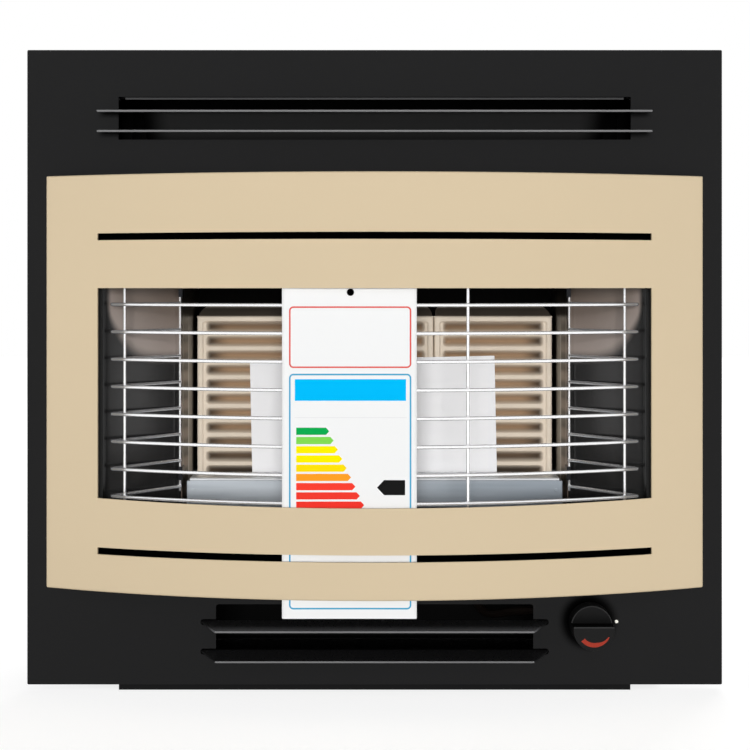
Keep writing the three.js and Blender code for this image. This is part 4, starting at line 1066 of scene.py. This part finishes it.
for side, sign in (("left", -1), ("right", 1)):
    for kind, path, material in (
        ("reflector", REFLECTOR_PATH, reflector_steel), ("cheek", CHEEK_PATH, cheek_steel),
    ):
        curved = rounded_path(path, 2.2) * [sign, 1]
        sheet = folded_sheet(curved, FIREBOX_LOW, FIREBOX_HIGH, -sign * FIREBOX_SHEET, True)
        piece(f"{kind}_sheet_{side}", sheet, material, f"{kind}_{side}", sharp=50)
print("bends on each side:", len(REFLECTOR_PATH) + len(CHEEK_PATH) - 4)

# %% [markdown]
# ## The burner shield
#
# The shield is zinc plated sheet. Its face stops a little short of the top, where a second fold
# makes a rolled lip, bright with a painted highlight, and then the flat top that runs back to the
# radiants. The top is narrower than the face, so a dark notch is left at each end. A painted
# reflection makes the zinc paler on the left, and a noise drawn out lengthways gives it long soft
# streaks of painted reflection.

# %% Burner shield
SHIELD_HALF, SHIELD_TOP_HALF = 169.6, 166.6
SHIELD_FRONT, SHIELD_REAR = 58.0, 102.0
SHIELD_LOW, SHIELD_TOP = 140.3, 176.0
SHIELD_SHEET = 1.0
SHIELD_SCREW_X, SHIELD_SCREW_Z = 163.8, 165.0
REFLECTION_BRIGHT_END, REFLECTION_DIM_END = -60.0, 150.0

shield_zinc = zinc_steel.copy()
shield_zinc.name = "shield_zinc"
zinc_tree = shield_zinc.node_tree
x, y, z = place_in_millimetres(shield_zinc)
# Painted reflection: paler on the left and long soft streaks; a painted highlight along the rolled
# lip.
drawn_out = add_node(zinc_tree, "ShaderNodeVectorMath", {
    0: add_node(zinc_tree, "ShaderNodeTexCoord").outputs["Object"], 1: (3.0, 3.0, 60.0),
}, operation="MULTIPLY").outputs[0]
reflection_streaks = Number(zinc_tree, add_node(
    zinc_tree, "ShaderNodeTexNoise", {"Vector": drawn_out, "Scale": 2.0, "Detail": 2.0}
).outputs["Fac"])
paint(
    shield_zinc,
    ((0.38, 0.425, 0.475), x.ramp(REFLECTION_BRIGHT_END, REFLECTION_DIM_END)),
    ((0.24, 0.29, 0.33), reflection_streaks.ramp(0.45, 0.7) * 0.35),
    ((0.86, 0.88, 0.90), z.ramp(SHIELD_TOP - 2.4, SHIELD_TOP - 1.4)),
)

face_path = rounded_path([
    (SHIELD_FRONT + 9, SHIELD_LOW), (SHIELD_FRONT, SHIELD_LOW), (SHIELD_FRONT, SHIELD_TOP - 2.6),
], 1.5)
top_path = rounded_path([
    (SHIELD_FRONT + 0.6, SHIELD_TOP - 3.4), (SHIELD_FRONT - 0.9, SHIELD_TOP - 1.6),
    (SHIELD_FRONT + 0.4, SHIELD_TOP), (SHIELD_REAR, SHIELD_TOP),
], 1.6)
end_path = rounded_path([
    (SHIELD_HALF - 1.2, SHIELD_FRONT), (SHIELD_HALF, SHIELD_FRONT + 0.6),
    (SHIELD_HALF, SHIELD_FRONT + 11),
], 1.0)
shield_parts = [
    folded_sheet(face_path, 1 - SHIELD_HALF, SHIELD_HALF - 1, -SHIELD_SHEET),
    folded_sheet(top_path, -SHIELD_TOP_HALF, SHIELD_TOP_HALF, -SHIELD_SHEET),
]
for sign in (-1, 1):
    shield_parts.append(folded_sheet(
        end_path * [sign, 1], SHIELD_LOW + 0.4, SHIELD_TOP - 2.8, sign * SHIELD_SHEET, True
    ))
    screw = (sign * SHIELD_SCREW_X, SHIELD_FRONT, SHIELD_SCREW_Z)
    shield_parts.append(domed_head(screw, 1.7, 0.35))
piece("zinc_shield", join_parts(shield_parts), shield_zinc, "burner_shield", sharp=50)
print("shield parts:", len(shield_parts))

# %% [markdown]
# ## The sleeve of papers
#
# A sleeve with the papers in it stands on the radiant rail, leaning a little. Its two faces swell
# from the welded edges: the half thickness is a constant plus a bulge that fades to the rim. Along
# its right and top edges a paler strip is painted; along the top it is painted light.

# %% Sleeve
SLEEVE_WIDTH, SLEEVE_HEIGHT = 228.4, 113.4
SLEEVE_CENTRE = (-1.1, 106.0, 224.98)
SLEEVE_LEAN = math.radians(1.2)
SLEEVE_EDGE, SLEEVE_BULGE = 0.6, 1.1
PALE_RIGHT_EDGE = (105.5, 106.2)
PALE_TOP_EDGE = (277.0, 277.6)


def sleeve_surface(columns=90, rows=46):
    """Front and back grids that meet along the rim: y = -/+ (edge + bulge (1-u^4)(1-v^4))."""
    u, v = np.meshgrid(np.linspace(-1, 1, columns), np.linspace(-1, 1, rows))
    swell = SLEEVE_EDGE + SLEEVE_BULGE * (1 - u**4) * (1 - v**4)
    ripple = 0.12 * np.sin(5.1 * u + 2.0 * v) * (1 - u**2) * (1 - v**2)
    points, faces = facing_pair(*[
        np.stack([u * SLEEVE_WIDTH / 2, ripple + side * swell, v * SLEEVE_HEIGHT / 2], axis=-1)
        for side in (-1, 1)
    ])
    cos, sin = math.cos(SLEEVE_LEAN), math.sin(SLEEVE_LEAN)
    return points @ np.array([[cos, 0, sin], [0, 1, 0], [-sin, 0, cos]]) + SLEEVE_CENTRE, faces


x, y, z = place_in_millimetres(paper_sleeve)
# Paler strips painted along the right and top edges; along the top they are painted light.
along_top = x.made("MULTIPLY_ADD", -math.tan(SLEEVE_LEAN), z)
pale_edges = x.ramp(*PALE_RIGHT_EDGE) | along_top.ramp(*PALE_TOP_EDGE)
paint(paper_sleeve, ((0.93, 0.93, 0.95), pale_edges * 0.6))
sleeve = sleeve_surface()
piece("sleeve_of_papers", sleeve, paper_sleeve, "envelope", sharp=60)
print("sleeve faces:", len(sleeve[1]))

# %% [markdown]
# ## The swing tag
#
# The tag is one strip of coated card. It hangs in front of the guard, goes over the top wire and
# ends in a narrower tab behind it. The strip is a path in depth and height, and the width changes
# along the path: the lower corners are slightly rounded and the tab is narrower. A hole is punched
# near the top. The print is worked out in the material from rectangles, rounded frames and bars
# with pointed ends.

# %% Swing tag
TAG_MIDDLE, TAG_WIDTH, TAG_LOW = -20.8, 111.0, 75.1
TAG_FRONT, TAG_CARD, TAG_CORNER = -60.3, 0.5, 0.8
TAG_FOLD_TOP, TAG_FOLD_DEPTH = 359.2, 8.4
TAG_TAB, TAG_TAB_LOW = 84.0, 350.0
TAG_HOLE, TAG_HOLE_RADIUS = np.array([-19.9, 344.0]), 3.0


def tag_surface():
    """The card's front as a grid over (station along the path, place across)."""
    corner = TAG_CORNER * (1 - np.cos(np.linspace(0, math.pi / 2, 7)))
    near_hole = np.arange(TAG_HOLE[1] - 5, TAG_HOLE[1] + 5.1, 0.8)
    straight = np.unique(np.round(np.concatenate([
        TAG_LOW + corner, np.arange(TAG_LOW + 5, TAG_FOLD_TOP - 2, 4.0), near_hole,
    ]), 3))
    front = np.stack([np.full(len(straight), TAG_FRONT), straight], axis=1)
    tab_depth = TAG_FRONT + TAG_FOLD_DEPTH
    fold = rounded_path([
        (TAG_FRONT, TAG_FOLD_TOP - 1.5), (TAG_FRONT, TAG_FOLD_TOP),
        (tab_depth, TAG_FOLD_TOP), (tab_depth, TAG_TAB_LOW),
    ], 1.4)
    path = np.concatenate([front, fold])
    half = np.full(len(path), TAG_WIDTH / 2)
    rise = np.clip(TAG_CORNER - (straight - TAG_LOW), 0, TAG_CORNER)
    half[: len(straight)] -= TAG_CORNER - np.sqrt(TAG_CORNER**2 - rise**2)
    half[path[:, 0] > TAG_FRONT + TAG_FOLD_DEPTH * 0.6] = TAG_TAB / 2
    hole_across = (TAG_HOLE[0] - TAG_MIDDLE) / (TAG_WIDTH / 2)
    local = hole_across + np.arange(-5, 5.1, 0.8) / (TAG_WIDTH / 2)
    share = np.unique(np.round(np.concatenate([np.linspace(-1, 1, 41), local]), 5))
    x = TAG_MIDDLE + half[:, None] * share[None, :]
    y = np.broadcast_to(path[:, :1], x.shape).copy()
    z = np.broadcast_to(path[:, 1:], x.shape).copy()
    on_front = np.arange(len(path)) < len(straight)
    curl = 0.5 * share[None, :] ** 2 * np.clip((TAG_FOLD_TOP - z) / 200, 0, 1)
    y -= np.where(on_front[:, None], curl, 0)
    points = np.stack([x, y, z], axis=-1)
    cell = (points[1:, 1:] + points[:-1, :-1]) / 2
    away = np.hypot(cell[..., 0] - TAG_HOLE[0], cell[..., 2] - TAG_HOLE[1])
    punched = ((away < TAG_HOLE_RADIUS) & on_front[1:, None]).ravel()
    quads = grid_quads(*x.shape)
    rim = np.intersect1d(quads[punched], quads[~punched])
    flat = points.reshape(-1, 3)
    spoke = flat[rim][:, [0, 2]] - TAG_HOLE
    spoke *= TAG_HOLE_RADIUS / np.linalg.norm(spoke, axis=1)[:, None]
    flat[rim, 0] = TAG_HOLE[0] + spoke[:, 0]
    flat[rim, 2] = TAG_HOLE[1] + spoke[:, 1]
    return flat, quads[~punched]


tag = piece("hanging_tag", tag_surface(), print_card, "swing_tag", sharp=60)
give_thickness(tag, TAG_CARD)
print("tag faces:", len(tag.data.polygons))

# %% [markdown]
# Each ink is laid over the ones before it. The bars of one scale share a mask: the height gives the
# row, the row gives the bar's length and its ink, and the distance from the row's middle makes the
# point. The tag stays without words and figures.

# %% Print on the tag
FRAME_SIDES, UPPER_FRAME, LOWER_FRAME = (-70.5, 30.2), (281.6, 332.4), (82.8, 276.9)
FIELD_SIDES, FIELD = (-65.7, 25.9), (254.6, 272.4)
LINE_SIDES, LINE = (-65.7, 26.4), (240.5, 241.0)
BAR_LEFT, BAR_TOP, BAR_PITCH, BAR_HALF = -64.6, 233.3, 7.6, 2.97
BAR_TIP, BAR_TIP_STEP, BAR_SLANT = -37.4, 3.6, 0.9
POINTER_MIDDLE, POINTER_HALF, POINTER_SLANT = 183.1, 6.2, 0.95
POINTER_TIP, POINTER_END = 1.9, 25.1
BAR_INKS = [
    (0.003, 0.36, 0.07), (0.20, 0.63, 0.08), (1.0, 0.80, 0.0), (1.0, 0.80, 0.0),
    (0.95, 0.68, 0.003), (0.90, 0.32, 0.018), (0.86, 0.048, 0.03), (0.80, 0.042, 0.027),
    (0.80, 0.038, 0.025),
]
x, y, z = place_in_millimetres(print_card)
on_face = y < TAG_FRONT + TAG_CARD / 2


def rounded_frame(across, upwards, radius=3.6, stroke=1.3):
    """A mask for the line of a rounded rectangle: distance to its outline within the stroke."""
    off_x, off_z = [
        abs(value - (low + high) / 2) - ((high - low) / 2 - radius)
        for value, (low, high) in ((x, across), (z, upwards))
    ]
    corner = distance_from(off_x | 0.0, off_z | 0.0, 0.0, 0.0)
    distance = corner + (off_x | off_z).made("MINIMUM", 0.0) - radius
    return distance.between(-stroke, 0.0)


row = (BAR_TOP - z) / BAR_PITCH
off_row = abs(row.made("FRACT") - 0.5) * BAR_PITCH
row = row.made("FLOOR")
bar_inks = add_node(print_card.node_tree, "ShaderNodeValToRGB", {"Fac": (row + 0.5) / 9.0})
stops = bar_inks.color_ramp.elements
bar_inks.color_ramp.interpolation = "CONSTANT"
for i, ink in enumerate(BAR_INKS):
    stop = stops[i] if i < 2 else stops.new(i / len(BAR_INKS))
    stop.position = i / len(BAR_INKS)
    stop.color = colour(ink)
bars = row.between(-0.5, 8.5) * (off_row < BAR_HALF) * (x > BAR_LEFT)
bars = bars * (off_row * BAR_SLANT + x < row * BAR_TIP_STEP + BAR_TIP)
off_pointer = abs(z - POINTER_MIDDLE)
pointer = (off_pointer < POINTER_HALF) * (x < POINTER_END)
pointer = pointer * (off_pointer * -POINTER_SLANT + x > POINTER_TIP)
for ink, mask in (
    ((0.68, 0.09, 0.075), rounded_frame(FRAME_SIDES, UPPER_FRAME)),
    ((0.045, 0.34, 0.58), rounded_frame(FRAME_SIDES, LOWER_FRAME)),
    ((0.0, 0.46, 0.87), x.between(*FIELD_SIDES) * z.between(*FIELD)),
    ((0.72, 0.72, 0.73), x.between(*LINE_SIDES) * z.between(*LINE)),
    (bar_inks.outputs[0], bars),
    (0.006, pointer),
):
    paint(print_card, (ink, on_face * mask))
print("bars on the tag:", len(BAR_INKS))

# %% [markdown]
# ## The knob
#
# The knob is a moulded body whose lower half stands further out, so that a finger can push on the
# step. A red crescent on its face grows from a point to a broad end, to show how high the fire is
# set. The crescent is a mask: a ring about the spindle whose width depends on the angle. Painted
# light greys the upper half and the face of the step, painted shade darkens the ledge under the
# step, and painted highlights draw a line along two edges.

# %% Knob
LEDGE_DEPTH, KNOB_FACE = -21.0, -30.0
KNOB_RIM = 16.9
STEP_SHADE, STEP_HIGHLIGHT = (2.4, 3.4), (1.9, 2.95)
CRESCENT_OUTER, CRESCENT_WIDTH = 14.1, 3.7
CRESCENT_START, CRESCENT_TAPER, CRESCENT_END = math.radians(-140), -1.35, math.radians(-24)

frame_copy("turn_knob", "control_knob", black_plastic, 0.7)
x, y, z = place_in_millimetres(black_plastic)
up = z - KNOB_Z
reach = distance_from(x, z, KNOB_X, KNOB_Z)
angle = up.made("ARCTAN2", x - KNOB_X)
width = angle.ramp(CRESCENT_TAPER, CRESCENT_END, 1.0, 0.25, "LINEAR") * CRESCENT_WIDTH
crescent = (
    angle.between(CRESCENT_START, CRESCENT_END) * (reach < CRESCENT_OUTER)
    * (reach > CRESCENT_OUTER - width) * (y < KNOB_FACE)
)
# Painted light on the upper half and the step's face, painted shade under the step, and painted
# highlights along two edges.
shade_under_step = y.between(LEDGE_DEPTH - 12.8, LEDGE_DEPTH - 0.4) * up.between(*STEP_SHADE)
step_edge_highlight = (y < LEDGE_DEPTH - 13.2) * up.between(*STEP_HIGHLIGHT)
rim_highlight = (reach > KNOB_RIM) * y.between(LEDGE_DEPTH - 1.0, LEDGE_DEPTH + 0.9)
rim_highlight = rim_highlight * (up > STEP_SHADE[1])
paint(
    black_plastic,
    (0.0105, up.ramp(2.5, 17.0)), (0.0135, y < LEDGE_DEPTH - 9.0), (0.0006, shade_under_step),
    (0.04, step_edge_highlight), (0.032, rim_highlight), ((0.34, 0.042, 0.026), crescent),
)
print("knob colours:", len(black_plastic.node_tree.nodes), "nodes")

# %% [markdown]
# Behind the plate a coil spring pushes the knob out again. It stands between a collar on the
# spindle and the gas plug, so it is squeezed when the knob is pushed in. Its wire is a circle
# carried along a helix. The index dot beside the knob is a spot of white enamel with a slightly
# domed face.

# %% Return spring and index dot
SPRING_RADIUS, SPRING_WIRE, SPRING_TURNS = 6.0, 0.5, 5
SPRING_FRONT, SPRING_BACK = 3.8, 19.7
DOT_PLACE = (208.9, -0.3, KNOB_Z)


def spring_surface(steps=160, sides=10):
    """Points c + w (cos b n + sin b m) round a helix c = (R cos a, front + rise a, R sin a).

    Here n is the direction from the axis, and m is at right angles to it and to the wire.
    """
    angle = np.linspace(0, 2 * math.pi * SPRING_TURNS, steps + 1)[:, None]
    rise = (SPRING_BACK - SPRING_FRONT) / (2 * math.pi * SPRING_TURNS)
    outwards = np.hstack([np.cos(angle), angle * 0, np.sin(angle)])
    centre = outwards * SPRING_RADIUS + (SPRING_FRONT + rise * angle) * [0, 1, 0]
    ahead = np.hstack([
        -np.sin(angle) * SPRING_RADIUS, np.full_like(angle, rise), np.cos(angle) * SPRING_RADIUS,
    ])
    ahead /= np.linalg.norm(ahead, axis=1)[:, None]
    across = np.cross(ahead, outwards)
    cos, sin = circle(sides)
    ring = cos * outwards[:, None] + sin * across[:, None]
    return tube(centre[:, None] + SPRING_WIRE * ring + [KNOB_X, 0, KNOB_Z])


spring = piece("coil_spring", spring_surface(), polished_steel, "return_spring", sharp=60)
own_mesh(spring)
dot = domed_head(DOT_PLACE, 1.5, 0.6, sides=24)
piece("white_index", dot, white_enamel, "index_dot", sharp=50)

# %% [markdown]
# ## Stage and light
#
# The picture has a white ground and a soft light from the front, which reaches right into the
# firebox. The main lamp is therefore far back, beside the lens. Two lamps at the sides light the
# panel where it curves away, one from above lights the tops, and one behind shows the case from the
# rear. Bright metal mirrors the white room and not the lamps, which would burn spots into it. The
# floor keeps the shadow: where a camera ray meets it, some light is added, more of it far from the
# fire, so that the lit part is white up to the backdrop. The stage is laid out in metres.

# %% Stage
FLOOR_HALF = 6
ROOM_LIGHT = 0.05

floor_mesh = bpy.data.meshes.new("floor")
corners = [(x * FLOOR_HALF, y * FLOOR_HALF, 0) for x, y in ((-1, -1), (1, -1), (1, 1), (-1, 1))]
floor_mesh.from_pydata(corners, [], [(0, 1, 2, 3)])
add_object("floor", floor_mesh)
floor_material = bpy.data.materials.new("pale_floor")
floor_material.use_nodes = True
floor_tree = floor_material.node_tree
floor_shader = shader_of(floor_material)
floor_shader["Base Color"].default_value = colour(0.5)
floor_shader["Roughness"].default_value = 0.9
floor_shader["Emission Color"].default_value = colour(1.0)
floor_mesh.materials.append(floor_material)


def seen_by(tree, *rays):
    """1 for the given kinds of ray, or else 0."""
    path = add_node(tree, "ShaderNodeLightPath").outputs
    seen = Number(tree, path[rays[0]])
    for ray in rays[1:]:
        seen = seen | path[ray]
    return seen


floor_place = add_node(floor_tree, "ShaderNodeTexCoord").outputs["Object"]
from_middle = Number(floor_tree, add_node(
    floor_tree, "ShaderNodeVectorMath", {0: floor_place}, operation="LENGTH"
).outputs["Value"])
glow = seen_by(floor_tree, "Is Camera Ray", "Is Glossy Ray")
glow = glow * from_middle.ramp(0.3, 1.6, 0.77, 1.0, "LINEAR")
floor_tree.links.new(glow.socket, floor_shader["Emission Strength"])

world = bpy.data.worlds.new("studio")
bpy.context.scene.world = world
world.use_nodes = True
backdrop = world.node_tree.nodes["Background"].inputs
backdrop["Color"].default_value = colour(1.0)
white = seen_by(world.node_tree, "Is Camera Ray", "Is Transmission Ray", "Is Glossy Ray")
world.node_tree.links.new((white | ROOM_LIGHT).socket, backdrop["Strength"])


def soft_lamp(name, place, target, size, power):
    """A rectangular lamp that faces a target and shows in no reflection."""
    data = bpy.data.lights.new(name, "AREA")
    data.shape = "RECTANGLE"
    data.size, data.size_y = size
    data.energy = power
    lamp = add_object(name, data)
    lamp.location = place
    direction = np.array(target, float) - np.array(place, float)
    pitch = math.atan2(math.hypot(direction[0], direction[1]), -direction[2])
    lamp.rotation_euler = (pitch, 0, math.atan2(-direction[0], direction[1]))
    lamp.visible_glossy = False


soft_lamp("upper_softbox", (0, -2.3, 1.1), (0, 0, 0.3), (1.8, 0.9), 4)
soft_lamp("lens_softbox", (0, -4.5, 0.62), (0, 0, 0.28), (1.0, 0.7), 161)
soft_lamp("rear_softbox", (0.8, 2.6, 1.5), (0, 0, 0.3), (2.2, 1.2), 45)
for side, sign in (("left", -1), ("right", 1)):
    soft_lamp(f"side_softbox_{side}", (sign * 1.55, -0.55, 0.35), (0, -0.1, 0.3), (0.5, 0.9), 5)
print("lamps:", len(bpy.data.lights))
